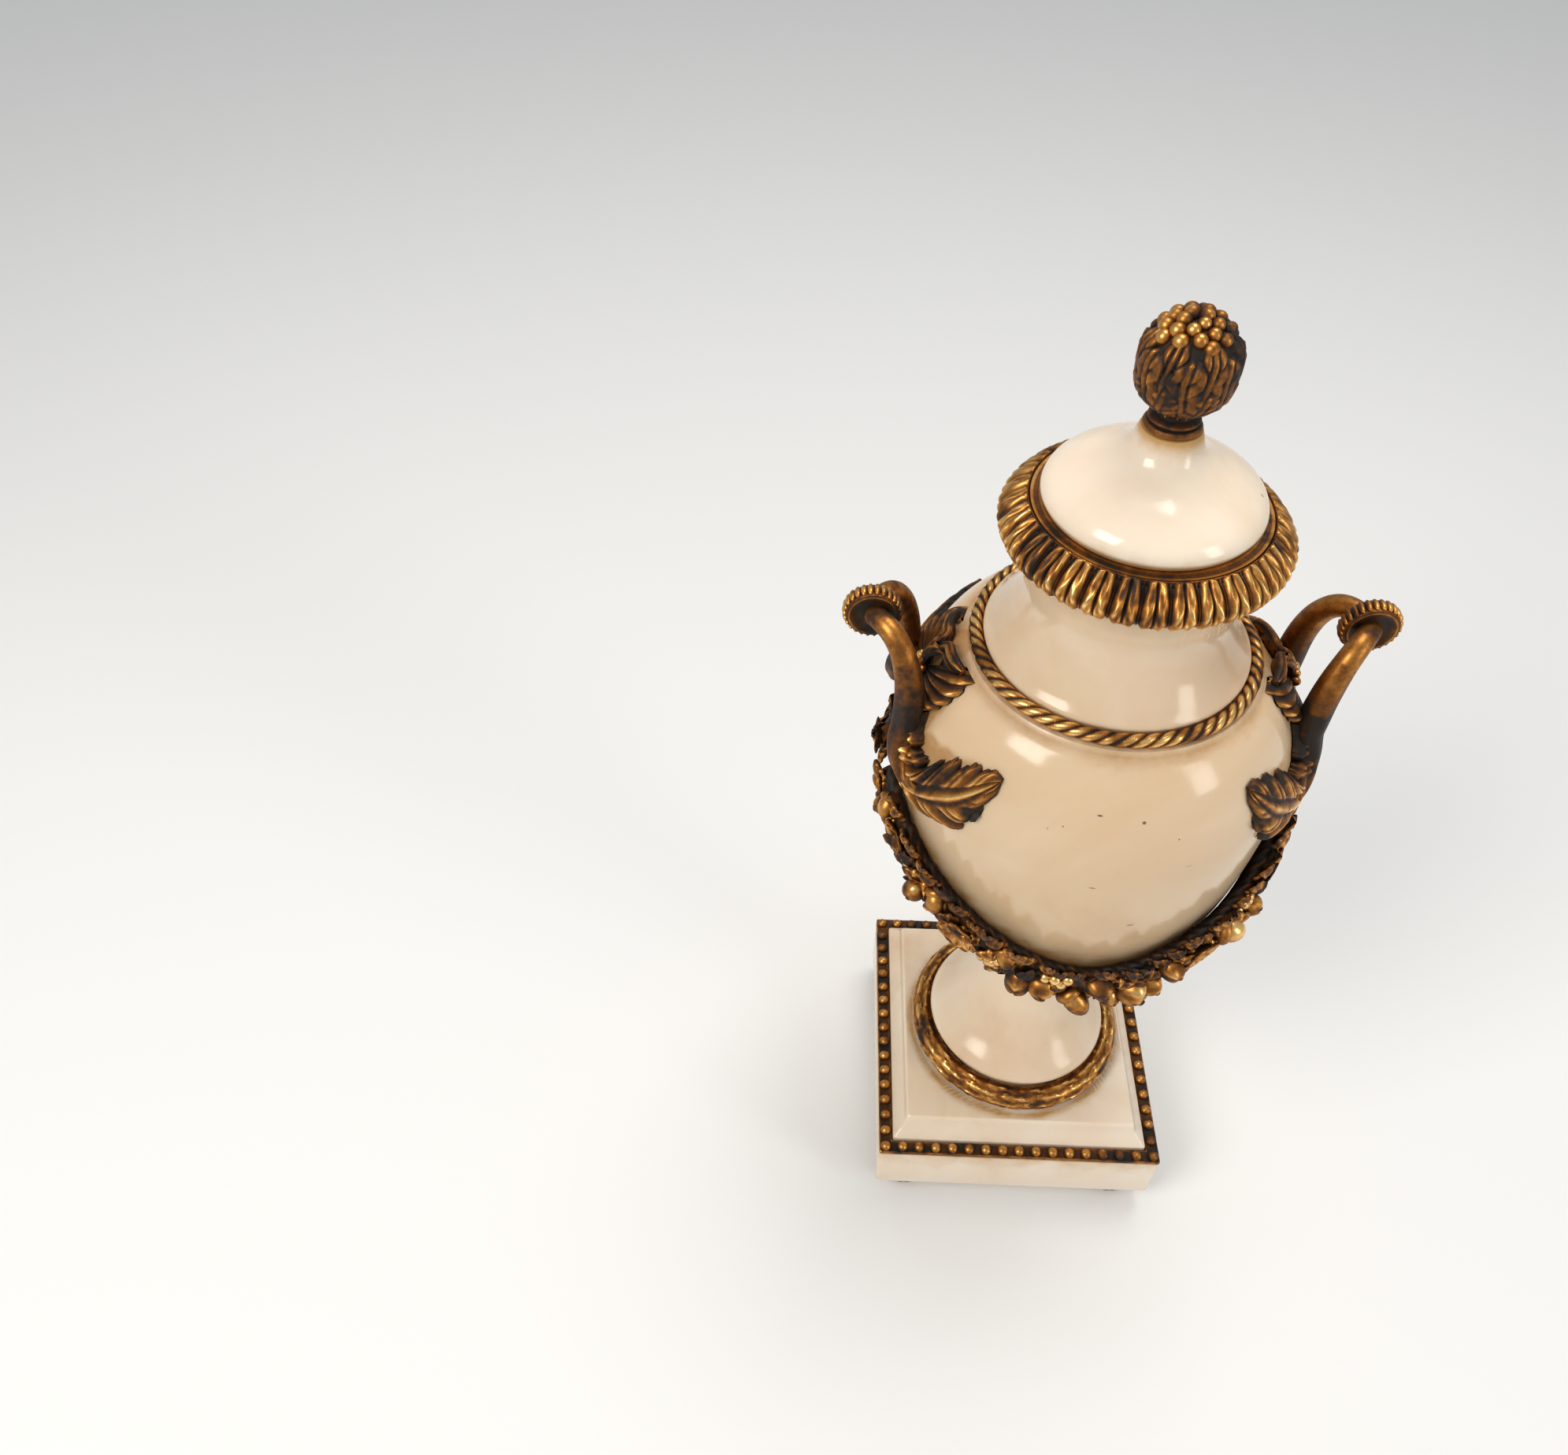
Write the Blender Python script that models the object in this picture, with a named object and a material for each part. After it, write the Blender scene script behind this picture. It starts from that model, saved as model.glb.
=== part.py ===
"""Mantel urn of white marble with gilt bronze mounts on a square plinth.

The frame has +Z up and its origin under the middle of the plinth, on the plane the feet
stand on. The handles lie on X and the front garland faces -Y. Sizes are in metres.
"""

import math

import bmesh
import bpy
import numpy as np
from mathutils import Matrix, Vector

# Driving sizes of the plinth
GAP = 0.0003
FOOT_RADIUS = 0.0095
FOOT_HEIGHT = 0.0116
FOOT_INSET = 0.0125
FOOT_LOBES = 6
SLAB_SIDE = 0.1113
SLAB_HEIGHT = 0.0256
SLAB_ROUNDING = 0.0012
BEADS_PER_SIDE = 16
BEAD_RADIUS = 0.0021
BEAD_STRIP_WIDTH = 0.0050
BEAD_STRIP_HEIGHT = 0.0016
STEP_LEDGE = 0.0026
STEP_HEIGHT = 0.0112
STEP_SLOPE = 0.0034
WREATH_RADIUS = 0.0376
WREATH_THICKNESS = 0.0094
WREATH_HEIGHT = 0.0096
WREATH_LEAVES = 20
STEP_ROUNDING = 0.0009
STRIP_ROUNDING = 0.0006
STRIP_INSET = 0.00015

# Driving sizes of the marble vessel
SOCLE_RADIUS = 0.0350
SOCLE_HEIGHT = 0.0605
STEM_RADIUS = 0.0127
SOCLE_FIT = 0.0004
SOCLE_LIP_INSET = 0.0012
SOCLE_LIP_RISE = 0.0016
SOCLE_LIP_HEIGHT = 0.0052
SOCLE_LIP_DEPTH = 0.0022
BODY_HEIGHT = 0.1560
BELLY_RADIUS = 0.0604
BELLY_LEVEL = 0.760
MOUTH_RADIUS = 0.0436
MOUTH_ROUNDING = 0.0010
FLOOR_CLEARANCE = 0.0020
THROAT_CHAMFER = 0.0030
WALL = 0.0085
ROPE_THICKNESS = 0.0042
ROPE_CLEARANCE = 0.0002
ROPE_STRANDS = 56
COLLAR_RADIUS = 0.0383
ROPE_RADIUS = COLLAR_RADIUS + ROPE_CLEARANCE + ROPE_THICKNESS / 2
COLLAR_HEIGHT = 0.0375
COLLAR_EDGE = 0.0046
COLLAR_WAIST = 0.0295
COLLAR_TOP_RADIUS = 0.0325
COLLAR_EDGE_FILLET = 0.0030
COLLAR_EDGE_SINK = 0.0022
COLLAR_WAIST_SWELL = 0.0026
COLLAR_NECK_SWELL = 0.0008
COLLAR_BASE_INSET = 0.0008
RIM_RADIUS = 0.0403
RIM_HEIGHT = 0.0140
RIM_LEAVES = 32
RIM_FILLET = 0.0034
RIM_SEAT = 0.0022
RIM_LIP = 0.0020
RIM_GROOVE = 0.0010
LID_RADIUS = 0.0297
LID_HEIGHT = 0.0235
LID_THICKNESS = 0.0075
LID_PLUG = 0.0060
LID_PLUG_CLEARANCE = 0.0006
LID_PLUG_WALL = 0.0040
LID_PLUG_EDGE = 0.0030
LID_EDGE_HEIGHT = 0.0026
LID_EDGE_INSET = 0.0010
FINIAL_SEAT = 0.0008
FINIAL_FOOT_RADIUS = 0.0070
FINIAL_HEIGHT = 0.0318
BUD_RADIUS = 0.0127

# Driving sizes of the handles, bows and garlands
DISC_RADIUS = 0.0092
DISC_THICKNESS = 0.0056
DISC_BEADS = 22
DISC_STAND = 0.0112
DISC_LEVEL = 0.0108
BRANCH_TOP_RADIUS = 0.0033
BRANCH_FOOT_RADIUS = 0.0048
BRANCH_SPREAD = 0.0152
BRANCH_STAND = 0.0018
BRANCH_REACH = BELLY_RADIUS + BRANCH_STAND
DISC_REACH = BELLY_RADIUS + DISC_STAND
BRANCH_CROWN = 0.0046
BRANCH_CROWN_INSET = 0.0087
BRANCH_SHANK = 0.0148
BRANCH_SHANK_INSET = 0.0162
BRANCH_DROP = 0.0550
LEAF_THICKNESS = 0.0030
LEAF_TURN = 39.5
LEAF_RISE = 0.0290
LEAF_WIDTH = 0.0145
LEAF_SET = 0.0105
BOW_SPREAD = 22.0
BOW_RISE = 0.0030
BOW_DROP = 0.0105
BOW_LOOP_WIDTH = 0.0200
BOW_THICKNESS = 0.0042
BOW_UPPER_SHARE = 0.90
BOW_LOWER_SHARE = 1.10
KNOT_RADIUS = 0.0036
KNOT_STAND = 0.0008
GARLAND_THICKNESS = 0.0088
GARLAND_DEPTH = 0.0150
GARLAND_HANG = 0.0070
GARLAND_SAG = 0.0410
GARLAND_TILT = 0.0015
FRUIT_RADIUS = 0.0038

ROUND = 24
BEAD_SIDES = 4

for old in list(bpy.data.objects):
    bpy.data.objects.remove(old)


def material(name, colour, roughness, metallic):
    """A Principled material with the piece's colour, roughness and metallic value."""
    made = bpy.data.materials.new(name)
    made.use_nodes = True
    shader = made.node_tree.nodes["Principled BSDF"]
    shader.inputs["Base Color"].default_value = (*colour, 1.0)
    shader.inputs["Roughness"].default_value = roughness
    shader.inputs["Metallic"].default_value = metallic
    return made


def smooth_path(points, steps):
    """Points along a Catmull-Rom curve through the given ones, steps to each stretch."""
    p = np.array([2 * np.array(points[0]) - points[1], *points,
                  2 * np.array(points[-1]) - points[-2]], float)
    out = []
    for i in range(1, len(p) - 2):
        for t in np.arange(steps) / steps:
            a = 2 * p[i]
            b = p[i + 1] - p[i - 1]
            c = 2 * p[i - 1] - 5 * p[i] + 4 * p[i + 1] - p[i + 2]
            d = -p[i - 1] + 3 * p[i] - 3 * p[i + 1] + p[i + 2]
            out.append(0.5 * (a + b * t + c * t * t + d * t ** 3))
    return np.array([*out, p[-2]])


def place(mesh, name, look, smooth_angle=40.0):
    """Puts a mesh into the scene as one named object with its own material."""
    mesh.materials.clear()
    mesh.materials.append(look)
    mesh.shade_smooth()
    mesh.set_sharp_from_angle(angle=math.radians(smooth_angle))
    made = bpy.data.objects.new(name, mesh)
    bpy.context.collection.objects.link(made)
    return made


def finish_mesh(bm, name):
    """Welds the poles, turns the faces outward and returns the mesh."""
    bmesh.ops.remove_doubles(bm, verts=bm.verts, dist=1e-6)
    bmesh.ops.recalc_face_normals(bm, faces=bm.faces)
    mesh = bpy.data.meshes.new(name)
    bm.to_mesh(mesh)
    bm.free()
    return mesh


def turned(profile, name, steps=ROUND):
    """Spins a closed profile of (radius, height) points once round the Z axis."""
    bm = bmesh.new()
    verts = [bm.verts.new((r, 0.0, z)) for r, z in profile]
    ring = verts if profile[0][0] < 1e-9 else [*verts, verts[0]]
    edges = [bm.edges.new((a, b)) for a, b in zip(ring, ring[1:])]
    bmesh.ops.spin(bm, geom=verts + edges, cent=(0, 0, 0), axis=(0, 0, 1),
                   angle=math.tau, steps=steps, use_merge=True)
    return finish_mesh(bm, name)


def closed_grid(points, name):
    """Skins a grid of points that closes both ways, like a ring of any section."""
    rows, columns = points.shape[:2]
    bm = bmesh.new()
    verts = [[bm.verts.new(points[i, j]) for j in range(columns)] for i in range(rows)]
    for i in range(rows):
        for j in range(columns):
            k, m = (i + 1) % rows, (j + 1) % columns
            bm.faces.new((verts[i][j], verts[k][j], verts[k][m], verts[i][m]))
    return finish_mesh(bm, name)


def lofted(rings, name):
    """Skins a row of rings of equal count and fills the first and the last one."""
    bm = bmesh.new()
    verts = [[bm.verts.new(p) for p in ring] for ring in rings]
    count = len(rings[0])
    for low, high in zip(verts, verts[1:]):
        for j in range(count):
            k = (j + 1) % count
            bm.faces.new((low[j], low[k], high[k], high[j]))
    bm.faces.new(verts[0][::-1])
    bm.faces.new(verts[-1])
    return finish_mesh(bm, name)


def tube(path, radii, sides, name, flatten=1.0, out=None):
    """A tube along a path with a radius at each point, flattened towards out if given."""
    path = np.asarray(path, float)
    along = np.gradient(path, axis=0)
    rings = []
    for point, step, radius in zip(path, along, radii):
        t = Vector(step).normalized()
        guide = Vector(out(point)) if out else Vector((0.0, 0.0, 1.0))
        a = (guide - t * guide.dot(t)).normalized()
        b = t.cross(a)
        turn = [math.tau * k / sides for k in range(sides)]
        rings.append([Vector(point) + a * (math.cos(u) * radius * flatten)
                      + b * (math.sin(u) * radius) for u in turn])
    return lofted(rings, name)


def combined(base, others, operation):
    """The mesh of one exact Boolean of the base mesh and the others, in turn."""
    body = bpy.data.objects.new("base", base)
    bpy.context.collection.objects.link(body)
    tools = []
    for other in others:
        tool = bpy.data.objects.new("tool", other)
        bpy.context.collection.objects.link(tool)
        tools.append(tool)
        cut = body.modifiers.new("cut", "BOOLEAN")
        cut.operation = operation
        cut.solver = "EXACT"
        cut.object = tool
    bpy.context.view_layer.update()
    graph = bpy.context.evaluated_depsgraph_get()
    mesh = bpy.data.meshes.new_from_object(body.evaluated_get(graph))
    for used in (body, *tools):
        bpy.data.objects.remove(used)
    bm = bmesh.new()
    bm.from_mesh(mesh)
    bmesh.ops.remove_doubles(bm, verts=bm.verts, dist=2e-6)
    bmesh.ops.dissolve_degenerate(bm, edges=bm.edges, dist=2e-6)
    bm.to_mesh(mesh)
    bm.free()
    return mesh


def ball(centre, radii, axis, name, sides=7, rows=4):
    """A low ball or pod about centre, its radii across and along the given axis."""
    across, along = radii
    turn = Vector((0, 0, 1)).rotation_difference(Vector(axis)).to_matrix()
    bm = bmesh.new()
    bmesh.ops.create_uvsphere(bm, u_segments=sides, v_segments=rows, radius=1.0)
    scale = Matrix.Diagonal((across, across, along))
    bmesh.ops.transform(bm, matrix=(turn @ scale).to_4x4(), verts=bm.verts)
    bmesh.ops.translate(bm, vec=Vector(centre), verts=bm.verts)
    return finish_mesh(bm, name)


# Levels of the pieces, each standing on the one below
slab_z = FOOT_HEIGHT + GAP
slab_top = slab_z + SLAB_HEIGHT
step_z = slab_top + GAP
panel_z = step_z + STEP_HEIGHT
wreath_z = panel_z + GAP
socle_z = panel_z + GAP
body_z = socle_z + SOCLE_HEIGHT + GAP
body_top = body_z + BODY_HEIGHT
rope_z = body_top + GAP
collar_z = body_top + GAP
collar_top = collar_z + COLLAR_HEIGHT
rim_top = collar_top + GAP + RIM_HEIGHT
lid_z = rim_top + GAP
lid_top = lid_z + LID_HEIGHT
finial_z = lid_top + GAP
bead_square = SLAB_SIDE - 2 * (BEAD_STRIP_WIDTH / 2 + STRIP_INSET)
step_side = bead_square - BEAD_STRIP_WIDTH - 2 * GAP

white = (0.86, 0.78, 0.70)
gilt = (0.42, 0.25, 0.09)


def square_ring(side, height, corner, per_corner=3):
    """A square with rounded corners at one height."""
    half = side / 2 - corner
    ring = []
    for quarter in range(4):
        middle = math.radians(45 + 90 * quarter)
        cx = half * math.copysign(1, math.cos(middle))
        cy = half * math.copysign(1, math.sin(middle))
        for k in range(per_corner):
            a = math.radians(90 * quarter + 90 * k / (per_corner - 1))
            ring.append((cx + corner * math.cos(a), cy + corner * math.sin(a), height))
    return ring


# Square marble base of the plinth with softened edges
base_rings = [
    square_ring(SLAB_SIDE - 2 * SLAB_ROUNDING, slab_z, SLAB_ROUNDING),
    square_ring(SLAB_SIDE, slab_z + SLAB_ROUNDING, 2 * SLAB_ROUNDING),
    square_ring(SLAB_SIDE, slab_top - SLAB_ROUNDING / 2, 2 * SLAB_ROUNDING),
    square_ring(SLAB_SIDE - SLAB_ROUNDING, slab_top, 1.5 * SLAB_ROUNDING),
]
place(lofted(base_rings, "plinth_base"), "plinth_base",
      material("plinth_base_marble", white, 0.22, 0.0))

# Raised marble panel whose sloping edge rises from inside the beads
step_rings = [
    square_ring(step_side, step_z, STEP_ROUNDING),
    square_ring(step_side, step_z + STEP_LEDGE, STEP_ROUNDING),
    square_ring(step_side - 2 * STEP_SLOPE, panel_z - STEP_LEDGE, STEP_ROUNDING),
    square_ring(step_side - 3.4 * STEP_SLOPE, panel_z, STEP_ROUNDING),
]
place(lofted(step_rings, "plinth_step"), "plinth_step",
      material("plinth_step_marble", white, 0.22, 0.0))

# Turned bronze feet under the corners, each with a ring of low lobes
foot_place = SLAB_SIDE / 2 - FOOT_INSET
foot_shape = [(0.62, 0.0), (0.86, 0.12), (1.0, 0.42), (0.92, 0.68), (0.66, 0.80), (0.70, 1.0)]
for number, (sx, sy) in enumerate([(-1, -1), (1, -1), (1, 1), (-1, 1)], 1):
    rings = []
    for share, level in foot_shape:
        lobe = 0.06 if 0.1 < level < 0.7 else 0.0
        ring = []
        for k in range(FOOT_LOBES * 2):
            a = math.tau * k / (FOOT_LOBES * 2)
            r = FOOT_RADIUS * share * (1 - lobe * (k % 2))
            ring.append((sx * foot_place + r * math.cos(a), sy * foot_place + r * math.sin(a),
                         FOOT_HEIGHT * level))
        rings.append(ring)
    place(lofted(rings, "foot"), f"foot_{number}",
          material(f"foot_{number}_bronze", gilt, 0.35, 1.0))

# Square of bronze beads on a flat strip, cast in one piece round the step
half = bead_square / 2
strip_low = slab_top + GAP
strip_high = strip_low + BEAD_STRIP_HEIGHT
outer_side = bead_square + BEAD_STRIP_WIDTH
inner_side = bead_square - BEAD_STRIP_WIDTH
frame_rings = np.array([
    square_ring(outer_side, strip_low, STRIP_ROUNDING, 2),
    square_ring(outer_side, strip_high, STRIP_ROUNDING, 2),
    square_ring(inner_side, strip_high, STRIP_ROUNDING, 2),
    square_ring(inner_side, strip_low, STRIP_ROUNDING, 2),
])
strip = closed_grid(np.swapaxes(frame_rings, 0, 1), "bead_strip")
bm = bmesh.new()
for side in range(4):
    for k in range(BEADS_PER_SIDE):
        along = -half + bead_square * k / BEADS_PER_SIDE
        spot = Matrix.Rotation(math.pi / 2 * side, 3, "Z") @ Vector((along, -half, 0))
        rings = []
        for share, level in ((1.0, -0.3), (0.80, 0.55)):
            ring = []
            for j in range(BEAD_SIDES):
                a = math.tau * (j + 0.5) / BEAD_SIDES
                ring.append(bm.verts.new((spot.x + share * BEAD_RADIUS * math.cos(a),
                                          spot.y + share * BEAD_RADIUS * math.sin(a),
                                          strip_high + level * BEAD_RADIUS)))
            rings.append(ring)
        low, high = rings
        crown = bm.verts.new((spot.x, spot.y, strip_high + BEAD_RADIUS))
        bm.faces.new(low[::-1])
        for j in range(BEAD_SIDES):
            k2 = (j + 1) % BEAD_SIDES
            bm.faces.new((low[j], low[k2], high[k2], high[j]))
            bm.faces.new((high[j], high[k2], crown))
beads = finish_mesh(bm, "beads")
place(combined(strip, [beads], "UNION"), "bead_frame",
      material("bead_frame_bronze", gilt, 0.35, 1.0))

# Laurel wreath round the foot of the vessel, leaves in overlapping groups
stations = 2 * WREATH_LEAVES
section = 6
points = np.zeros((stations, section, 3))
for i in range(stations):
    turn = math.tau * i / stations
    swell = 1.0 + 0.12 * (0.5 - i % 2)
    for j in range(section):
        a = math.tau * j / section - math.pi / 2
        lift = max(0.0, math.sin(a)) if j else 0.0
        rr = WREATH_THICKNESS / 2 * (swell if lift > 0 else 1.0)
        r = WREATH_RADIUS + rr * math.cos(a)
        z = wreath_z + WREATH_HEIGHT / 2 * (1 + math.sin(a) * (swell if lift > 0 else 1.0))
        points[i, j] = (r * math.cos(turn), r * math.sin(turn), z)
place(closed_grid(points, "wreath"), "laurel_wreath",
      material("laurel_wreath_bronze", gilt, 0.38, 1.0))

# Trumpet foot of marble, its rim lying over the wreath
inside = WREATH_RADIUS - WREATH_THICKNESS / 2 - GAP - SOCLE_FIT
over = wreath_z + WREATH_HEIGHT * 1.06 + GAP
socle_top = socle_z + SOCLE_HEIGHT
rise = socle_top - over
flare = smooth_path([
    (SOCLE_RADIUS, over + SOCLE_LIP_RISE),
    (SOCLE_RADIUS - SOCLE_LIP_DEPTH, over + SOCLE_LIP_HEIGHT),
    (0.72 * SOCLE_RADIUS, over + 0.24 * rise), (0.50 * SOCLE_RADIUS, over + 0.46 * rise),
    (STEM_RADIUS, over + 0.74 * rise), (STEM_RADIUS * 0.93, over + 0.88 * rise),
    (STEM_RADIUS * 1.12, socle_top)], 1)
socle = [(0.0, socle_z), (inside, socle_z), (inside, over), (SOCLE_RADIUS - SOCLE_LIP_INSET, over),
         *[tuple(q) for q in flare], (0.0, socle_top)]
place(turned(socle, "socle"), "foot_marble", material("foot_marble_stone", white, 0.2, 0.0))

# Egg shaped marble body, hollow down to its floor and open at the top
belly_z = BODY_HEIGHT * BELLY_LEVEL
egg_shape = [
    (STEM_RADIUS * 1.12, 0.0), (0.39 * BELLY_RADIUS, 0.10 * belly_z),
    (0.62 * BELLY_RADIUS, 0.24 * belly_z), (0.78 * BELLY_RADIUS, 0.38 * belly_z),
    (0.89 * BELLY_RADIUS, 0.54 * belly_z), (0.965 * BELLY_RADIUS, 0.74 * belly_z),
    (BELLY_RADIUS, belly_z),
]
shoulder = BODY_HEIGHT - belly_z
width = BELLY_RADIUS - MOUTH_RADIUS
egg_shape += [
    (MOUTH_RADIUS + 0.85 * width, belly_z + 0.40 * shoulder),
    (MOUTH_RADIUS + 0.54 * width, belly_z + 0.72 * shoulder),
    (MOUTH_RADIUS + 0.22 * width, belly_z + 0.91 * shoulder),
    (MOUTH_RADIUS, BODY_HEIGHT - 0.8 * MOUTH_ROUNDING),
    (MOUTH_RADIUS - MOUTH_ROUNDING, BODY_HEIGHT),
]
egg = smooth_path([(r, body_z + z) for r, z in egg_shape], 2)


def body_radius(level):
    """Radius of the marble at a height above the feet."""
    return float(np.interp(level, egg[:, 1], egg[:, 0]))


def shifted(path, distance):
    """A profile moved sideways, outward for a positive distance."""
    step = np.gradient(path, axis=0)
    normal = np.stack([step[:, 1], -step[:, 0]], 1)
    return path + distance * normal / np.linalg.norm(normal, axis=1)[:, None]


inner_wall = shifted(egg, -WALL)
floor_z = body_z + 0.10 * belly_z + WALL
throat = COLLAR_WAIST - WALL
inner_wall = [(r, z) for r, z in inner_wall[::-1] if z > floor_z + FLOOR_CLEARANCE and r > throat]
inner_wall = [q for q in inner_wall if q[1] < body_top - WALL][::4]
body = [(0.0, body_z), *[tuple(q) for q in egg], (throat, body_top),
        (throat, body_top - THROAT_CHAMFER),
        *inner_wall, (0.6 * inner_wall[-1][0], floor_z), (0.0, floor_z)]
place(turned(body, "body"), "body_marble", material("body_marble_stone", white, 0.2, 0.0))

# Twisted bronze rope lying round the mouth of the body
rope_points = np.zeros((2 * ROPE_STRANDS, 4, 3))
rope_middle = rope_z + ROPE_THICKNESS / 2
for i in range(2 * ROPE_STRANDS):
    turn = math.tau * i / (2 * ROPE_STRANDS)
    for j in range(4):
        a = math.tau * (j + 0.5 * (i % 2)) / 4
        r = ROPE_RADIUS + ROPE_THICKNESS / 2 * math.cos(a)
        z = rope_middle + ROPE_THICKNESS / 2 * math.sin(a)
        rope_points[i, j] = (r * math.cos(turn), r * math.sin(turn), z)
place(closed_grid(rope_points, "rope"), "rope_band",
      material("rope_band_bronze", gilt, 0.33, 1.0))

# Marble collar with a rounded flange, a waist and a bore through to the body
collar_path = smooth_path([
    (COLLAR_RADIUS, collar_z + 0.6 * COLLAR_EDGE), (COLLAR_RADIUS + GAP, collar_z + COLLAR_EDGE),
    (COLLAR_RADIUS - COLLAR_EDGE_SINK, collar_z + COLLAR_EDGE + COLLAR_EDGE_FILLET),
    (COLLAR_WAIST + COLLAR_WAIST_SWELL, collar_z + 0.38 * COLLAR_HEIGHT),
    (COLLAR_WAIST, collar_z + 0.58 * COLLAR_HEIGHT),
    (COLLAR_WAIST + COLLAR_NECK_SWELL, collar_z + 0.79 * COLLAR_HEIGHT),
    (COLLAR_TOP_RADIUS, collar_top)], 1)
collar = [(throat, collar_z), (COLLAR_RADIUS - COLLAR_BASE_INSET, collar_z),
          *[tuple(q) for q in collar_path], (throat, collar_top)]
place(turned(collar, "collar"), "neck_marble", material("neck_marble_stone", white, 0.2, 0.0))

# Bronze rim of overhanging leaves with a plain fillet round the lid
rim_low = collar_top + GAP
rim_bore = LID_RADIUS - RIM_SEAT
rim_shape = [
    (rim_bore, 0.0), (COLLAR_TOP_RADIUS, 0.0), (RIM_RADIUS - 0.9 * RIM_LIP, 0.16),
    (RIM_RADIUS, 0.40), (RIM_RADIUS - RIM_LIP, 0.72), (rim_bore + RIM_FILLET + 1.1 * RIM_LIP, 0.97),
    (rim_bore + RIM_FILLET, 1.0), (rim_bore, 1.0),
]
rim_points = np.zeros((2 * RIM_LEAVES, len(rim_shape), 3))
for i in range(2 * RIM_LEAVES):
    turn = math.tau * i / (2 * RIM_LEAVES)
    for j, (radius, level) in enumerate(rim_shape):
        sunk = RIM_GROOVE if i % 2 and 2 <= j <= 4 else 0.0
        r = radius - sunk
        rim_points[i, j] = (r * math.cos(turn), r * math.sin(turn), rim_low + RIM_HEIGHT * level)
place(closed_grid(rim_points, "rim"), "rim_mount", material("rim_mount_bronze", gilt, 0.36, 1.0))

# Marble lid that lifts off, ogee above and hollowed below round a plug
lid_edge = lid_z + LID_EDGE_HEIGHT
lid_rise = lid_top - lid_edge
lid_path = smooth_path([
    (LID_RADIUS, lid_edge), (0.925 * LID_RADIUS, lid_edge + 0.18 * lid_rise),
    (0.73 * LID_RADIUS, lid_edge + 0.37 * lid_rise), (0.52 * LID_RADIUS, lid_edge + 0.53 * lid_rise),
    (0.345 * LID_RADIUS, lid_edge + 0.73 * lid_rise), (FINIAL_FOOT_RADIUS + FINIAL_SEAT, lid_top)], 1)
plug = throat - LID_PLUG_CLEARANCE
plug_low = lid_z - LID_PLUG
lid = [(0.0, plug_low + LID_THICKNESS), (plug - LID_PLUG_WALL, plug_low + LID_THICKNESS),
       (plug - LID_PLUG_EDGE, plug_low), (plug, plug_low), (plug, lid_z),
       (LID_RADIUS - LID_EDGE_INSET, lid_z), *[tuple(q) for q in lid_path], (0.0, lid_top)]
place(turned(lid, "lid"), "lid_marble", material("lid_marble_stone", white, 0.2, 0.0))

# Bronze finial, a bud of leaves and berries on a waisted foot
bud_shape = [
    (FINIAL_FOOT_RADIUS, 0.0, 0), (FINIAL_FOOT_RADIUS, 0.055, 0),
    (FINIAL_FOOT_RADIUS * 0.70, 0.10, 0), (FINIAL_FOOT_RADIUS * 0.72, 0.17, 0),
    (0.74 * BUD_RADIUS, 0.27, 1), (0.97 * BUD_RADIUS, 0.43, 1), (BUD_RADIUS, 0.60, 1),
    (0.93 * BUD_RADIUS, 0.76, 1), (0.74 * BUD_RADIUS, 0.88, 1), (0.40 * BUD_RADIUS, 0.97, 1),
]
bud_rings = []
for radius, level, carved in bud_shape:
    ring = []
    for k in range(16):
        a = math.tau * k / 16
        r = radius * (1.0 - 0.06 * carved * (k % 2))
        ring.append((r * math.cos(a), r * math.sin(a), finial_z + FINIAL_HEIGHT * level))
    bud_rings.append(ring)
bud_rings.append([(0.12 * x, 0.12 * y, finial_z + FINIAL_HEIGHT) for x, y, z in bud_rings[-1]])
place(lofted(bud_rings, "finial"), "finial", material("finial_bronze", gilt, 0.36, 1.0))

# Space of the marble with its clearance, cut from every bronze that lies on it
keep_out = [(0.0, socle_top), (STEM_RADIUS * 1.12, socle_top),
            *[tuple(q) for q in shifted(egg, GAP)],
            (ROPE_RADIUS + ROPE_THICKNESS / 2 + GAP, body_top + GAP),
            (ROPE_RADIUS + ROPE_THICKNESS / 2 + GAP, body_top + 2.4 * ROPE_THICKNESS),
            (0.0, body_top + 2.4 * ROPE_THICKNESS)]


def marble_space():
    """A fresh mesh of the body's space for one cut."""
    return turned(keep_out, "space", 56)


def on_body(turn, level, off):
    """A point off the marble surface, its turn in degrees from the front towards +X."""
    r = body_radius(level) + off
    a = math.radians(turn)
    return np.array([r * math.sin(a), -r * math.cos(a), level])


def outward(point):
    """The direction away from the axis at a point."""
    return (point[0], point[1], 0.0)


disc_z = body_top + DISC_LEVEL


def branch_path(fore):
    """The curve of one branch from the disc's face down to its leaf; fore is -1 or 1."""
    a = np.array([DISC_REACH, fore * 0.3 * DISC_THICKNESS, disc_z])
    b = np.array([DISC_REACH - BRANCH_CROWN_INSET, fore * BRANCH_SPREAD, disc_z + BRANCH_CROWN])
    c = np.array([DISC_REACH - BRANCH_SHANK_INSET, fore * BRANCH_SPREAD, disc_z - BRANCH_SHANK])
    d = np.array([BRANCH_REACH, fore * 0.9 * BRANCH_SPREAD, disc_z - BRANCH_DROP])
    t = np.linspace(0.0, 1.0, 9)[:, None]
    return (1 - t) ** 3 * a + 3 * t * (1 - t) ** 2 * b + 3 * t * t * (1 - t) * c + t ** 3 * d


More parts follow.
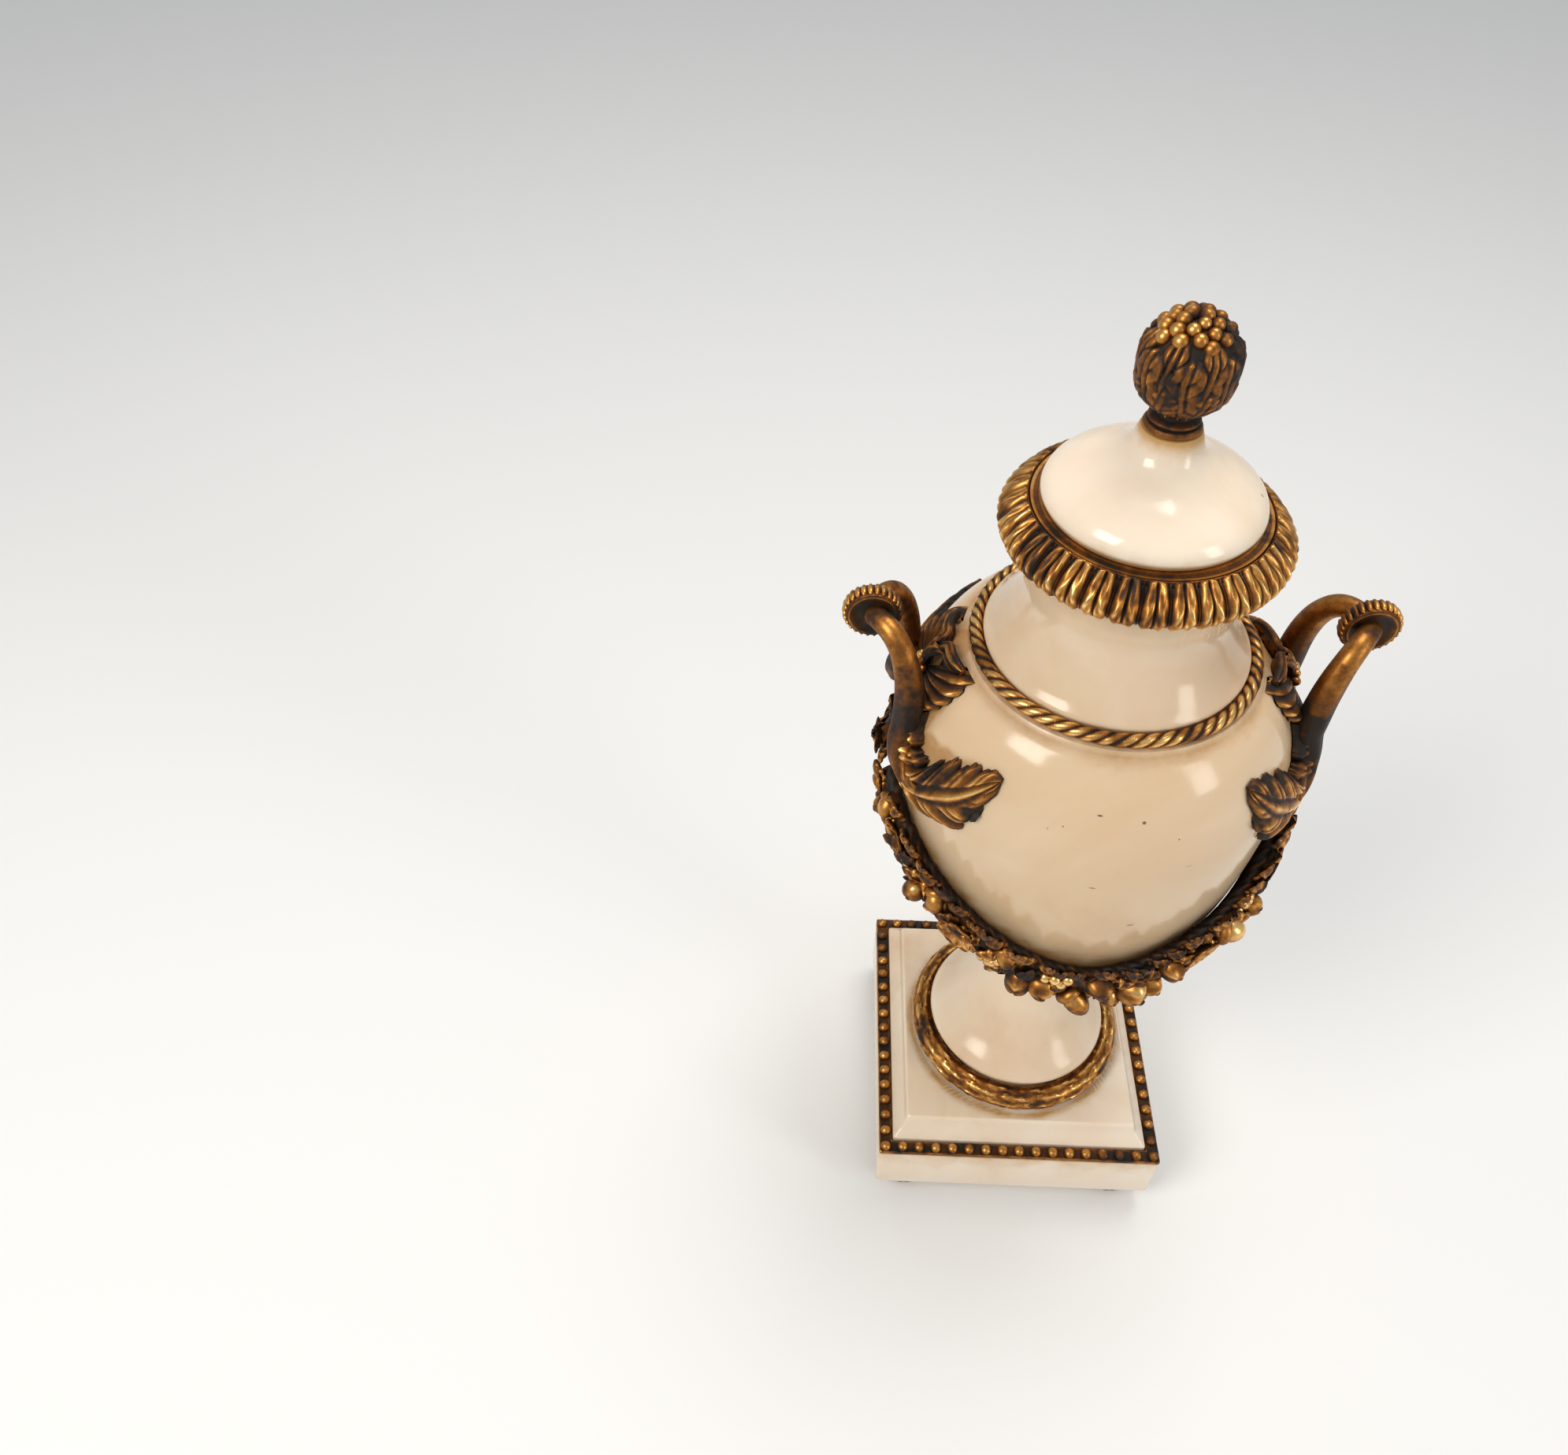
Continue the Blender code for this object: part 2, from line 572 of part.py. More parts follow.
def leaf(fore):
    """The acanthus leaf that spreads from a branch's foot over the marble."""
    foot = branch_path(fore)[-2]
    start_turn = math.degrees(math.atan2(foot[0], abs(foot[1])))
    shares = [(0.0, 0.80, 0.20), (0.17, 1.15, 0.25), (0.33, 0.97, 0.39), (0.5, 0.76, 0.70),
              (0.67, 0.60, 1.0), (0.83, 0.41, 0.98), (0.94, 0.22, 0.62), (1.0, 0.04, 0.04)]
    rings = []
    for s, upper, lower in shares:
        turn = start_turn - s * LEAF_TURN
        level = foot[2] - LEAF_SET + LEAF_RISE * s ** 1.2
        up = upper * LEAF_WIDTH
        down = lower * LEAF_WIDTH
        body = LEAF_THICKNESS * (1.5 - 0.8 * s)
        ring = []
        for share, off in ((1.0, 0.0), (0.55, 0.75), (0.0, 1.0), (-0.5, 0.75), (-1.0, 0.0),
                           (0.0, -0.6)):
            z = level + (up if share > 0 else down) * share
            p = on_body(turn, z, body * off)
            ring.append((p[0], fore * abs(p[1]), p[2]))
        rings.append(ring)
    return lofted(rings, "leaf")


def beaded_disc():
    """The small beaded roundel at the top of a handle, its axis fore and aft."""
    rings = []
    for y, share, lobed in ((-0.5, 0.80, 0), (-0.42, 0.96, 1), (0.42, 0.96, 1), (0.5, 0.80, 0)):
        ring = []
        for k in range(DISC_BEADS):
            a = math.tau * k / DISC_BEADS
            r = DISC_RADIUS * share * (1.0 + 0.05 * lobed * (k % 2))
            ring.append((DISC_REACH + r * math.cos(a), y * DISC_THICKNESS, disc_z + r * math.sin(a)))
        rings.append(ring)
    return lofted(rings, "disc")


def branch(fore, clearance=0.0):
    """One round branch of a handle, fatter by the clearance where it is a cutter."""
    path = branch_path(fore)
    t = np.linspace(0.0, 1.0, len(path))
    radii = BRANCH_TOP_RADIUS + (BRANCH_FOOT_RADIUS - BRANCH_TOP_RADIUS) * t ** 1.2
    return tube(path, radii + clearance, 6, "branch", 1.0, outward)


def handle():
    """One cast handle: roundel, two branches and two leaves."""
    parts = []
    for fore in (-1, 1):
        parts += [branch(fore), leaf(fore)]
    return combined(beaded_disc(), parts, "UNION")


def mirrored(mesh):
    """A copy of a mesh mirrored across X with its faces turned back outward."""
    bm = bmesh.new()
    bm.from_mesh(mesh)
    bmesh.ops.scale(bm, vec=(-1, 1, 1), verts=bm.verts)
    bmesh.ops.reverse_faces(bm, faces=bm.faces)
    made = bpy.data.meshes.new("mirrored")
    bm.to_mesh(made)
    bm.free()
    return made


right_handle = combined(handle(), [marble_space()], "DIFFERENCE")
left_handle = mirrored(right_handle)
place(right_handle, "handle_right", material("handle_right_bronze", gilt, 0.34, 1.0))
place(left_handle, "handle_left", material("handle_left_bronze", gilt, 0.34, 1.0))


def bow():
    """A ribbon bow on the shoulder between the branches: a knot and two pleated loops."""
    knot_level = body_top - BOW_DROP
    knot = on_body(90.0, knot_level, 0.5 * BOW_THICKNESS)
    parts = []
    for fore in (-1, 1):
        rings = []
        for i, (reach, width) in enumerate(((0.0, 0.24), (0.3, 0.72), (0.7, 1.0), (1.0, 0.80))):
            turn = 90.0 - fore * (1.0 + reach * BOW_SPREAD)
            level = knot_level + reach * BOW_RISE
            mid = on_body(turn, level, 0.5 * BOW_THICKNESS)
            out = Vector((mid[0], mid[1], 0.7 * BELLY_RADIUS)).normalized()
            side = out.cross(Vector((-mid[1], mid[0], 0.0)).normalized())
            side = side if side.z > 0 else -side
            ring = []
            for k in range(8):
                a = math.tau * k / 8
                fold = 1.0 + 0.22 * (k % 2)
                share = BOW_UPPER_SHARE if math.cos(a) > 0 else BOW_LOWER_SHARE
                across = math.cos(a) * share * BOW_LOOP_WIDTH / 2 * width
                ring.append(Vector(mid) + side * across
                            + out * (math.sin(a) * BOW_THICKNESS / 2 * fold * (0.8 + width)))
            rings.append(ring)
        parts.append(lofted(rings, "loop"))
    start = ball(knot + np.array([KNOT_STAND, 0, 0]), (KNOT_RADIUS, KNOT_RADIUS), (0, 1, 0),
                 "knot", 8, 5)
    return combined(start, parts, "UNION")


bow_cuts = [marble_space(), branch(-1, 1.5 * GAP), branch(1, 1.5 * GAP)]
right_bow = combined(bow(), bow_cuts, "DIFFERENCE")
left_bow = mirrored(right_bow)
place(right_bow, "bow_right", material("bow_right_bronze", gilt, 0.4, 1.0))
place(left_bow, "bow_left", material("bow_left_bronze", gilt, 0.4, 1.0))

garland_top = disc_z - BRANCH_DROP - GARLAND_HANG
garland_low = garland_top - GARLAND_SAG


def garland_level(turn):
    """Height of the garland's middle line at a turn in degrees from the front."""
    s = min(1.0, abs(turn) / 84.0)
    tilt = GARLAND_TILT * math.sin(math.radians(2 * turn))
    return garland_low + GARLAND_SAG * s ** 1.35 - tilt


def garland(fore, fruit):
    """A festoon from handle to handle: a leafy band with fruit, flowers and berries on it."""
    turns = np.linspace(-82.0, 82.0, 23)
    path = []
    radii = []
    for i, turn in enumerate(turns):
        p = on_body(turn, garland_level(turn), 0.42 * GARLAND_THICKNESS)
        path.append((p[0], fore * abs(p[1]), p[2]))
        narrow = 1.0 - 0.35 * (abs(turn) / 82.0) ** 3
        radii.append(GARLAND_DEPTH / 2 * (0.88 + 0.12 * math.cos(2.2 * i)) * narrow)
    flat = GARLAND_THICKNESS / GARLAND_DEPTH
    core = tube(path, radii, 6, "core", flat, outward)
    parts = []
    for turn, rise_by, off, size, length in fruit:
        level = garland_level(turn) + rise_by * GARLAND_DEPTH / 2
        p = on_body(turn, level, off * GARLAND_THICKNESS)
        axis = (math.cos(math.radians(turn)) * 0.5, 0.3, 0.8)
        spot = (p[0], fore * abs(p[1]), p[2])
        parts.append(ball(spot, (size * FRUIT_RADIUS, size * length * FRUIT_RADIUS), axis,
                          "fruit", 5, 3))
    return combined(combined(core, parts, "UNION"), [marble_space()], "DIFFERENCE")


front_fruit = [
    (-83, -0.1, 0.75, 1.5, 1.0), (-66, 0.1, 0.8, 1.1, 1.3), (-54, -0.5, 0.97, 0.9, 1.0),
    (-39, -0.3, 0.85, 1.6, 0.8), (-30, -0.8, 0.8, 1.0, 1.4), (-20, -0.9, 0.85, 1.0, 1.2),
    (-12, -0.5, 0.85, 1.1, 1.0), (0, -1.0, 1.0, 1.3, 1.3), (6, -0.2, 0.85, 1.1, 1.1),
    (15, -0.7, 0.9, 1.25, 1.15), (24, -0.9, 0.9, 0.95, 1.1), (35, -0.4, 0.8, 1.5, 0.9),
    (44, 0.0, 0.85, 1.1, 1.1), (54, -0.4, 0.8, 1.0, 1.2), (64, 0.0, 0.8, 1.4, 0.9),
    (83, -0.1, 0.75, 1.5, 1.0),
]
back_fruit = [(turn, rise_by, off, size, length)
              for turn, rise_by, off, size, length in front_fruit[::2]]
place(garland(-1, front_fruit), "garland_front",
      material("garland_front_bronze", gilt, 0.4, 1.0))
place(garland(1, back_fruit), "garland_back", material("garland_back_bronze", gilt, 0.4, 1.0))
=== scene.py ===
"""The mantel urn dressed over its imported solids, made in the order that it is put together."""
import math

import bmesh
import bpy
import numpy as np
from mathutils import Matrix, Vector


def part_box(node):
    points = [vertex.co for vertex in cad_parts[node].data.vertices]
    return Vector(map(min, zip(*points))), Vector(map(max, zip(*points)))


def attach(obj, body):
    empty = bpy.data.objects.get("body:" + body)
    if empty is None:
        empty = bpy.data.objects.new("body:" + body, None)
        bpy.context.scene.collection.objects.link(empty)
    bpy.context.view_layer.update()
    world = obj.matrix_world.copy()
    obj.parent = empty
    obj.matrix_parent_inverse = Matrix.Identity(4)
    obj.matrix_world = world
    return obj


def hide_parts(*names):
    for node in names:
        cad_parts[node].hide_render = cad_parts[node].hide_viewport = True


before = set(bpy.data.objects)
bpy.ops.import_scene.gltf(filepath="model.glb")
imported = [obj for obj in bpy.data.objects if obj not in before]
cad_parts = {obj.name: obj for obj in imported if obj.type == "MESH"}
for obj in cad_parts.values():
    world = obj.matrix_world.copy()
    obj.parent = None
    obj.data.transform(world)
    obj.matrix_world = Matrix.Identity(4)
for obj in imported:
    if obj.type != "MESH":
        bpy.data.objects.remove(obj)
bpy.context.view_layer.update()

# Plinth of white marble: a square slab and a lower square panel on it, sawn, moulded and
# polished by hand, a little worn at the arrises and stained where bronze lies on it.
TAU = 2 * math.pi
GAP = 0.0003
DRAWN_BACK = 0.0012
FOOT_HEIGHT = 0.0116
SLAB_SIDE = 0.1113
SLAB_HEIGHT = 0.0256
STEP_SIDE = 0.1004
STEP_HEIGHT = 0.0112
slab_z = FOOT_HEIGHT + GAP
slab_top = slab_z + SLAB_HEIGHT
step_z = slab_top + GAP
panel_z = step_z + STEP_HEIGHT


def skin(points, value, wrap_rows=False, wrap_columns=True):
    """Joins a grid of points into quads, closing the rows or the columns on themselves.

    The value is one number or one a point, kept as the piece's attribute."""
    rows, columns = points.shape[:2]
    r = np.arange(rows if wrap_rows else rows - 1)
    c = np.arange(columns if wrap_columns else columns - 1)
    i, j = np.meshgrid(r, c, indexing="ij")
    k, m = (i + 1) % rows, (j + 1) % columns
    quads = np.stack([i * columns + j, k * columns + j, k * columns + m, i * columns + m], -1)
    spread = np.broadcast_to(value, (rows, columns)).reshape(-1)
    return points.reshape(-1, 3), quads.reshape(-1, 4), spread


def fade(distance, length):
    """1 where the distance is none, falling off to 1/e over the length."""
    return np.exp(-np.abs(distance) / length)


def part_of(value):
    """The value held between 0 and 1."""
    return np.clip(value, 0, 1)


def convexity(mesh):
    """How far each point stands out from its neighbours along its normal, -1 to 1.

    The mean of the neighbours is taken from the point, measured in edge lengths and
    averaged twice over the neighbours, so ridges come out bright and creases dark."""
    count = len(mesh.vertices)
    place_of, normal_of = np.empty(3 * count), np.empty(3 * count)
    mesh.vertices.foreach_get("co", place_of)
    mesh.vertices.foreach_get("normal", normal_of)
    place_of, normal_of = place_of.reshape(-1, 3), normal_of.reshape(-1, 3)
    ends = np.empty(2 * len(mesh.edges), int)
    mesh.edges.foreach_get("vertices", ends)
    a, b = ends.reshape(-1, 2).T
    links = np.maximum(np.bincount(a, minlength=count) + np.bincount(b, minlength=count), 1)

    def around(values):
        return (np.bincount(a, values[b], count) + np.bincount(b, values[a], count)) / links

    middle = np.stack([around(place_of[:, k]) for k in range(3)], 1)
    length = np.linalg.norm(place_of[a] - place_of[b], axis=1)
    size = (np.bincount(a, length, count) + np.bincount(b, length, count)) / links
    bulge = ((place_of - middle) * normal_of).sum(1) / np.maximum(size, 1e-9)
    for _ in range(2):
        bulge = 0.5 * bulge + 0.5 * around(bulge)
    return np.clip(4.0 * bulge, -1, 1)


def piece(solid, shells, material, slot, sharp=38.0, wear=0.0):
    """Merges shells into one closed piece that rides on the urn in place of its node.

    What stands less than 1.2 mm past the solid's box is drawn back onto it. Its points keep
    their values, the stain and painted shade of marble or the relief and painted light of
    bronze, raised by wear on ridges."""
    name, attribute = solid + "_visual", {"marble": "stain_and_shade", "ormolu": "relief"}[slot]
    low, high = (np.array(corner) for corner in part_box(solid))
    verts, faces, values, start = [], [], [], 0
    for v, f, a in shells:
        verts.append(np.where(v < low - DRAWN_BACK, v, np.maximum(v, low)))
        verts[-1] = np.where(v > high + DRAWN_BACK, verts[-1], np.minimum(verts[-1], high))
        faces.append(f + start)
        values.append(a)
        start += len(v)
    mesh = bpy.data.meshes.new(name)
    mesh.from_pydata(np.concatenate(verts), [], np.concatenate(faces))
    mark = mesh.attributes.new(attribute, "FLOAT", "POINT")
    mark.data.foreach_set("value", np.concatenate(values).astype(np.float32))
    bm = bmesh.new()
    bm.from_mesh(mesh)
    bmesh.ops.remove_doubles(bm, verts=bm.verts, dist=2e-7)
    bmesh.ops.dissolve_degenerate(bm, edges=bm.edges, dist=1e-7)
    bmesh.ops.recalc_face_normals(bm, faces=bm.faces)
    bm.to_mesh(mesh)
    bm.free()
    if wear:
        mark = mesh.attributes[attribute]
        tone = np.empty(len(mesh.vertices), np.float32)
        mark.data.foreach_get("value", tone)
        tone = part_of(tone + wear * convexity(mesh)).astype(np.float32)
        mark.data.foreach_set("value", tone)
    mesh.shade_smooth()
    mesh.set_sharp_from_angle(angle=math.radians(sharp))
    made = bpy.data.objects.new(name, mesh)
    bpy.context.collection.objects.link(made)
    mesh.materials.append(material)
    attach(made, "root")
    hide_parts(solid)


def node(tree, kind, settings=None, **inputs):
    """Adds a shader node; an input is a value, or the output socket that feeds it."""
    made = tree.nodes.new(kind)
    for key, value in (settings or {}).items():
        setattr(made, key, value)
    for key, value in inputs.items():
        socket = made.inputs[int(key[1:]) if key[1:].isdigit() else key.replace("_", " ")]
        if isinstance(value, bpy.types.NodeSocket):
            tree.links.new(value, socket)
        else:
            socket.default_value = value
    return made


def own_place(tree):
    """The place of a point in the piece's own coordinates."""
    return node(tree, "ShaderNodeTexCoord").outputs["Object"]


def calc(tree, operation, *values, clamp=False):
    """The result of a math node on numbers or sockets."""
    inputs = {f"i{k}": value for k, value in enumerate(values)}
    return node(tree, "ShaderNodeMath", {"operation": operation, "use_clamp": clamp},
                **inputs).outputs[0]


def noise(tree, place, scale, detail, settings=None, **inputs):
    """The value of a noise texture."""
    return node(tree, "ShaderNodeTexNoise", settings, Vector=place, Scale=scale, Detail=detail,
                **inputs).outputs["Fac"]


def remap(tree, value, low, high, to_low, to_high, kind="LINEAR"):
    """A value carried from one range to another and held inside it."""
    return node(tree, "ShaderNodeMapRange", {"interpolation_type": kind}, Value=value,
                From_Min=low, From_Max=high, To_Min=to_low, To_Max=to_high).outputs["Result"]


def blend(tree, share, first, second, kind="MIX"):
    """A share of the second colour laid over the first, or multiplied with it."""
    return node(tree, "ShaderNodeMix", {"data_type": "RGBA", "blend_type": kind}, i0=share,
                i6=first, i7=(*second, 1.0)).outputs[2]


def ramp(tree, value, stops):
    """A colour ramp through (place, colour) stops, fed by a value."""
    made = node(tree, "ShaderNodeValToRGB", None, Fac=value)
    band = made.color_ramp
    while len(band.elements) < len(stops):
        band.elements.new(0.5)
    for element, (place, colour) in zip(band.elements, stops):
        element.position = place
        element.color = (*colour, 1.0)
    return made.outputs["Color"]


def group(name, sockets_in, sockets_out):
    """An empty node group with float inputs (name: value) and named, typed outputs."""
    made = bpy.data.node_groups.new(name, "ShaderNodeTree")
    for key, value in sockets_in.items():
        socket = made.interface.new_socket(key, in_out="INPUT", socket_type="NodeSocketFloat")
        socket.default_value = value
    for key, kind in sockets_out.items():
        made.interface.new_socket(key, in_out="OUTPUT", socket_type=kind)
    return made, made.nodes.new("NodeGroupInput").outputs, made.nodes.new("NodeGroupOutput").inputs


def use_group(tree, shared, **inputs):
    """Places a shared group in a material with its own values."""
    return node(tree, "ShaderNodeGroup", {"node_tree": shared}, **inputs)


def new_material(name):
    """A material and its node tree, with the Principled BSDF that it starts with."""
    made = bpy.data.materials.new(name)
    made.use_nodes = True
    return made, made.node_tree, made.node_tree.nodes["Principled BSDF"]


# Colour of the stone in clouds and veins, shared by every marble piece
clouds, given, out = group("marble_clouds", {"Scale": 1.0}, {
    "Color": "NodeSocketColor", "Cloud": "NodeSocketFloat", "Grain": "NodeSocketFloat"})
place = own_place(clouds)
wide = calc(clouds, "MULTIPLY", given["Scale"], 16.0)
fine = calc(clouds, "MULTIPLY", given["Scale"], 420.0)
cloud = noise(clouds, place, wide, 5.0, Roughness=0.55, Distortion=0.6)
blush = noise(clouds, place, wide, 2.0, {"noise_dimensions": "4D"}, W=3.7)
stone = ramp(clouds, cloud, [
    (0.28, (0.740, 0.590, 0.430)), (0.44, (0.850, 0.745, 0.600)), (0.64, (0.915, 0.850, 0.750))])
tint = blend(clouds, remap(clouds, blush, 0.48, 0.72, 0.0, 0.55), stone, (0.880, 0.720, 0.610))
clouds.links.new(tint, out["Color"])
clouds.links.new(cloud, out["Cloud"])
clouds.links.new(noise(clouds, place, fine, 3.0), out["Grain"])

# Brown stain that creeps out from the bronze, broken up like a dried water mark; on the body it
# also carries painted shade and reflected bronze round the garlands
stain_and_shade_group, given, out = group("bronze_stain_and_shade", {"Nearness": 0.0}, {"Mask": "NodeSocketFloat"})
creep = noise(stain_and_shade_group, own_place(stain_and_shade_group), 95.0, 6.0, Roughness=0.65)
reach = calc(stain_and_shade_group, "ADD", given["Nearness"], calc(stain_and_shade_group, "MULTIPLY_ADD", creep, 0.9, -0.45))
stain_and_shade_group.links.new(remap(stain_and_shade_group, reach, 0.18, 1.0, 0.0, 1.0, "SMOOTHSTEP"), out["Mask"])


# The first colour is the stone's warm tint, partly its age and partly painted shade on the body,
# neck and foot.
STONE_TINT_AND_SHADE = (0.78, 0.64, 0.48)
BRONZE_STAIN_AND_SHADE = (0.62, 0.42, 0.17)
CHIP_DIRT = (0.10, 0.055, 0.025)


def marble(name, scale, tint_and_shade, marks=()):
    """Polished cream marble; marks are (place, half lengths, strength) of chips and specks."""
    made, tree, shader = new_material(name)
    body = use_group(tree, clouds, Scale=scale)
    near = node(tree, "ShaderNodeAttribute", {"attribute_name": "stain_and_shade"}).outputs["Fac"]
    stain_and_shade = use_group(tree, stain_and_shade_group, Nearness=near).outputs["Mask"]
    # The warm tint multiplies the stone: partly age, partly painted shade, strongest on the body
    # and neck, weakest on the lid and plinth.
    colour = blend(tree, tint_and_shade, body.outputs["Color"], STONE_TINT_AND_SHADE, "MULTIPLY")
    # The brown of the bronze stain; on the body it also lays painted shade and reflected bronze
    # round the garlands.
    colour = blend(tree, stain_and_shade, colour, BRONZE_STAIN_AND_SHADE, "MULTIPLY")
    for spot, (long_by, high_by), strength in marks:
        place = own_place(tree)
        for step, by in (("SUBTRACT", spot), ("DIVIDE", (long_by, long_by, high_by))):
            place = node(tree, "ShaderNodeVectorMath", {"operation": step}, i0=place,
                         i1=by).outputs["Vector"]
        away = node(tree, "ShaderNodeVectorMath", {"operation": "LENGTH"}, i0=place)
        dark = remap(tree, away.outputs["Value"], 1.0, 0.35, 0.0, strength, "SMOOTHSTEP")
        colour = blend(tree, dark, colour, CHIP_DIRT)
    rough = remap(tree, body.outputs["Cloud"], 0.3, 0.7, 0.20, 0.10)
    dull = calc(tree, "MULTIPLY_ADD", stain_and_shade, 0.45, rough)
    bump = node(tree, "ShaderNodeBump", None, Strength=0.05, Distance=0.0002,
                Height=body.outputs["Grain"]).outputs["Normal"]
    for socket, name in ((colour, "Base Color"), (dull, "Roughness"), (bump, "Normal")):
        tree.links.new(socket, shader.inputs[name])
    for name, value in (("Weight", 0.18), ("Radius", (0.004, 0.0026, 0.0016)), ("Scale", 1.0)):
        shader.inputs["Subsurface " + name].default_value = value
    shader.inputs["IOR"].default_value = 1.5
    return made


def square_profile(steps, corner, per_corner=10, per_side=0):
    """A moulding carried round a square: each (half side, height) is a rounded square.

    Each straight side can be given points of its own, evenly spaced."""
    a = np.linspace(0, math.pi / 2, per_corner)
    turn = np.concatenate([a + q * math.pi / 2 for q in range(4)])
    quarter = np.repeat(np.arange(4), per_corner) * math.pi / 2 + math.pi / 4
    sx, sy = np.sign(np.cos(quarter)), np.sign(np.sin(quarter))
    rings = []
    for half, height in steps:
        r = min(corner, half)
        x = sx * (half - r) + r * np.cos(turn)
        y = sy * (half - r) + r * np.sin(turn)
        rings.append(np.stack([x, y, np.full_like(x, height)], 1))
    rings = np.array(rings)
    part = np.concatenate([np.arange(per_corner - 1.0),
                           per_corner - 1 + np.arange(per_side + 1) / (per_side + 1)])
    at = np.concatenate([part + q * per_corner for q in range(4)])
    before = at.astype(int)
    after, share = (before + 1) % (4 * per_corner), (at - before)[None, :, None]
    return rings[:, before] * (1 - share) + rings[:, after] * share


def eased(half, z, radius, inward, steps=5):
    """A quarter round of a moulding's edge at (half, z), from its face to its top or bed."""
    a = np.linspace(0, math.pi / 2, steps)
    side = half - radius + radius * np.cos(a)
    up = z - inward * (radius - radius * np.sin(a))
    return list(zip(side, up))


half = SLAB_SIDE / 2
slab_steps = [(0.0, slab_z), (half - 0.0014, slab_z), *eased(half, slab_z, 0.0013, -1)[::-1],
              (half, slab_z + 0.4 * SLAB_HEIGHT), *eased(half, slab_top, 0.0008, 1),
              (half - 0.004, slab_top), (0.0, slab_top)]
slab = square_profile(slab_steps, 0.0016)
near = fade(slab[..., 2] - slab_top, 0.0022) * 0.75
near = near * (np.abs(slab[..., :2]).max(-1) > 0.04)
piece("plinth_base", [skin(slab, near)], marble("plinth_base_marble", 1.0, 0.40), "marble", 30)

half = STEP_SIDE / 2
slope = 0.0034
WREATH_STAIN = 0.0425
step_steps = [(0.0, step_z), (half - 0.0002, step_z), (half, step_z + 0.0002),
              (half, step_z + 0.0022), *eased(half, step_z + 0.0030, 0.0006, 1, 3),
              (half - 1.1 * slope, panel_z - 0.0046), (half - 1.35 * slope, panel_z - 0.0034),
              (half - 1.45 * slope, panel_z - 0.0016), (half - 1.55 * slope, panel_z - 0.0006),
              (half - 1.75 * slope, panel_z), (0.041, panel_z), (0.038, panel_z),
              (0.034, panel_z), (0.0, panel_z)]
step = square_profile(step_steps, 0.0010, 6, 24)
# The flat of the panel is drawn as rings so that the stain can follow the wreath
flat = np.linspace(0, 1, 40)[:, None, None]
inner_flat = step[-5] * (1 - flat)
inner_flat[..., 2] = panel_z
round_off = np.linalg.norm(inner_flat[..., :2], axis=-1)
step_near = fade(step[..., 2] - step_z - 0.0015, 0.0012) * 0.8
step_near = step_near * (np.abs(step[..., :2]).max(-1) > 0.0495)
flat_near = fade(round_off - WREATH_STAIN, 0.0022) * 0.95
whole = np.concatenate([step[:-5], inner_flat])
piece("plinth_step", [skin(whole, np.concatenate([step_near[:-5], flat_near]))],
      marble("plinth_step_marble", 1.1, 0.40), "marble", 30)

# Four bun feet of turned bronze under the corners, their swelling cut into short lobes,
# with a plain neck that is pinned into the slab.
FOOT_PLACE = SLAB_SIDE / 2 - 0.0125

# Gilding that keeps its gold on the high points and goes brown and black in the hollows
aged, given, out = group("aged_gilding", {"Relief": 0.5, "Dirt": 0.0}, {
    "Color": "NodeSocketColor", "Roughness": "NodeSocketFloat", "Metal": "NodeSocketFloat",
    "Height": "NodeSocketFloat"})
place = own_place(aged)
blotch = noise(aged, place, 150.0, 6.0, Roughness=0.62)
grain = noise(aged, place, 900.0, 4.0, Roughness=0.6)
worn = noise(aged, place, 55.0, 3.0, Roughness=0.7)
high = calc(aged, "ADD", given["Relief"], calc(aged, "MULTIPLY_ADD", blotch, 0.70, -0.35))
high = calc(aged, "ADD", high, calc(aged, "MULTIPLY_ADD", grain, 0.30, -0.15))
high = calc(aged, "SUBTRACT", high, remap(aged, worn, 0.49, 0.64, 0.0, 0.40, "SMOOTHSTEP"))
high = calc(aged, "SUBTRACT", high, given["Dirt"], clamp=True)
gilding = ramp(aged, high, [
    (0.04, (0.014, 0.007, 0.003)), (0.22, (0.080, 0.030, 0.009)), (0.42, (0.235, 0.090, 0.021)),
    (0.66, (0.530, 0.240, 0.056)), (0.96, (0.950, 0.610, 0.230))])
for socket, name in ((gilding, "Color"), (remap(aged, high, 0.1, 0.9, 0.62, 0.27), "Roughness"),
                     (remap(aged, high, 0.05, 0.45, 0.35, 1.0), "Metal"), (grain, "Height")):
    aged.links.new(socket, out[name])


def ormolu(name, dirt=0.0, pit=0.12):
    """Gilt bronze for one piece, with its own share of dirt and pitting."""
    made, tree, shader = new_material(name)
    relief = node(tree, "ShaderNodeAttribute", {"attribute_name": "relief"}).outputs["Fac"]
    gilt = use_group(tree, aged, Relief=relief, Dirt=dirt).outputs
    bump = node(tree, "ShaderNodeBump", None, Strength=pit, Distance=0.00025,
                Height=gilt["Height"]).outputs["Normal"]
    for socket, name in ((gilt["Color"], "Base Color"), (gilt["Roughness"], "Roughness"),
                         (gilt["Metal"], "Metallic"), (bump, "Normal")):
        tree.links.new(socket, shader.inputs[name])
    return made


def full_turn(count):
    """Angles of so many even steps round a full turn."""
    return np.arange(count) * TAU / count


def curve(points, steps):
    """Points along a Catmull-Rom curve through the given ones, steps to each stretch."""
    given_points = np.asarray(points, float)
    p = np.vstack([2 * given_points[0] - given_points[1], given_points,
                   2 * given_points[-1] - given_points[-2]])
    t = (np.arange(steps) / steps)[None, :, None]
    a, b, c, d = (p[k:len(p) - 3 + k, None] for k in range(4))
    path = 0.5 * (2 * b + (c - a) * t + (2 * a - 5 * b + 4 * c - d) * t ** 2
                  + (3 * b - a - 3 * c + d) * t ** 3)
    return np.vstack([path.reshape(-1, given_points.shape[1]), given_points[-1:]])


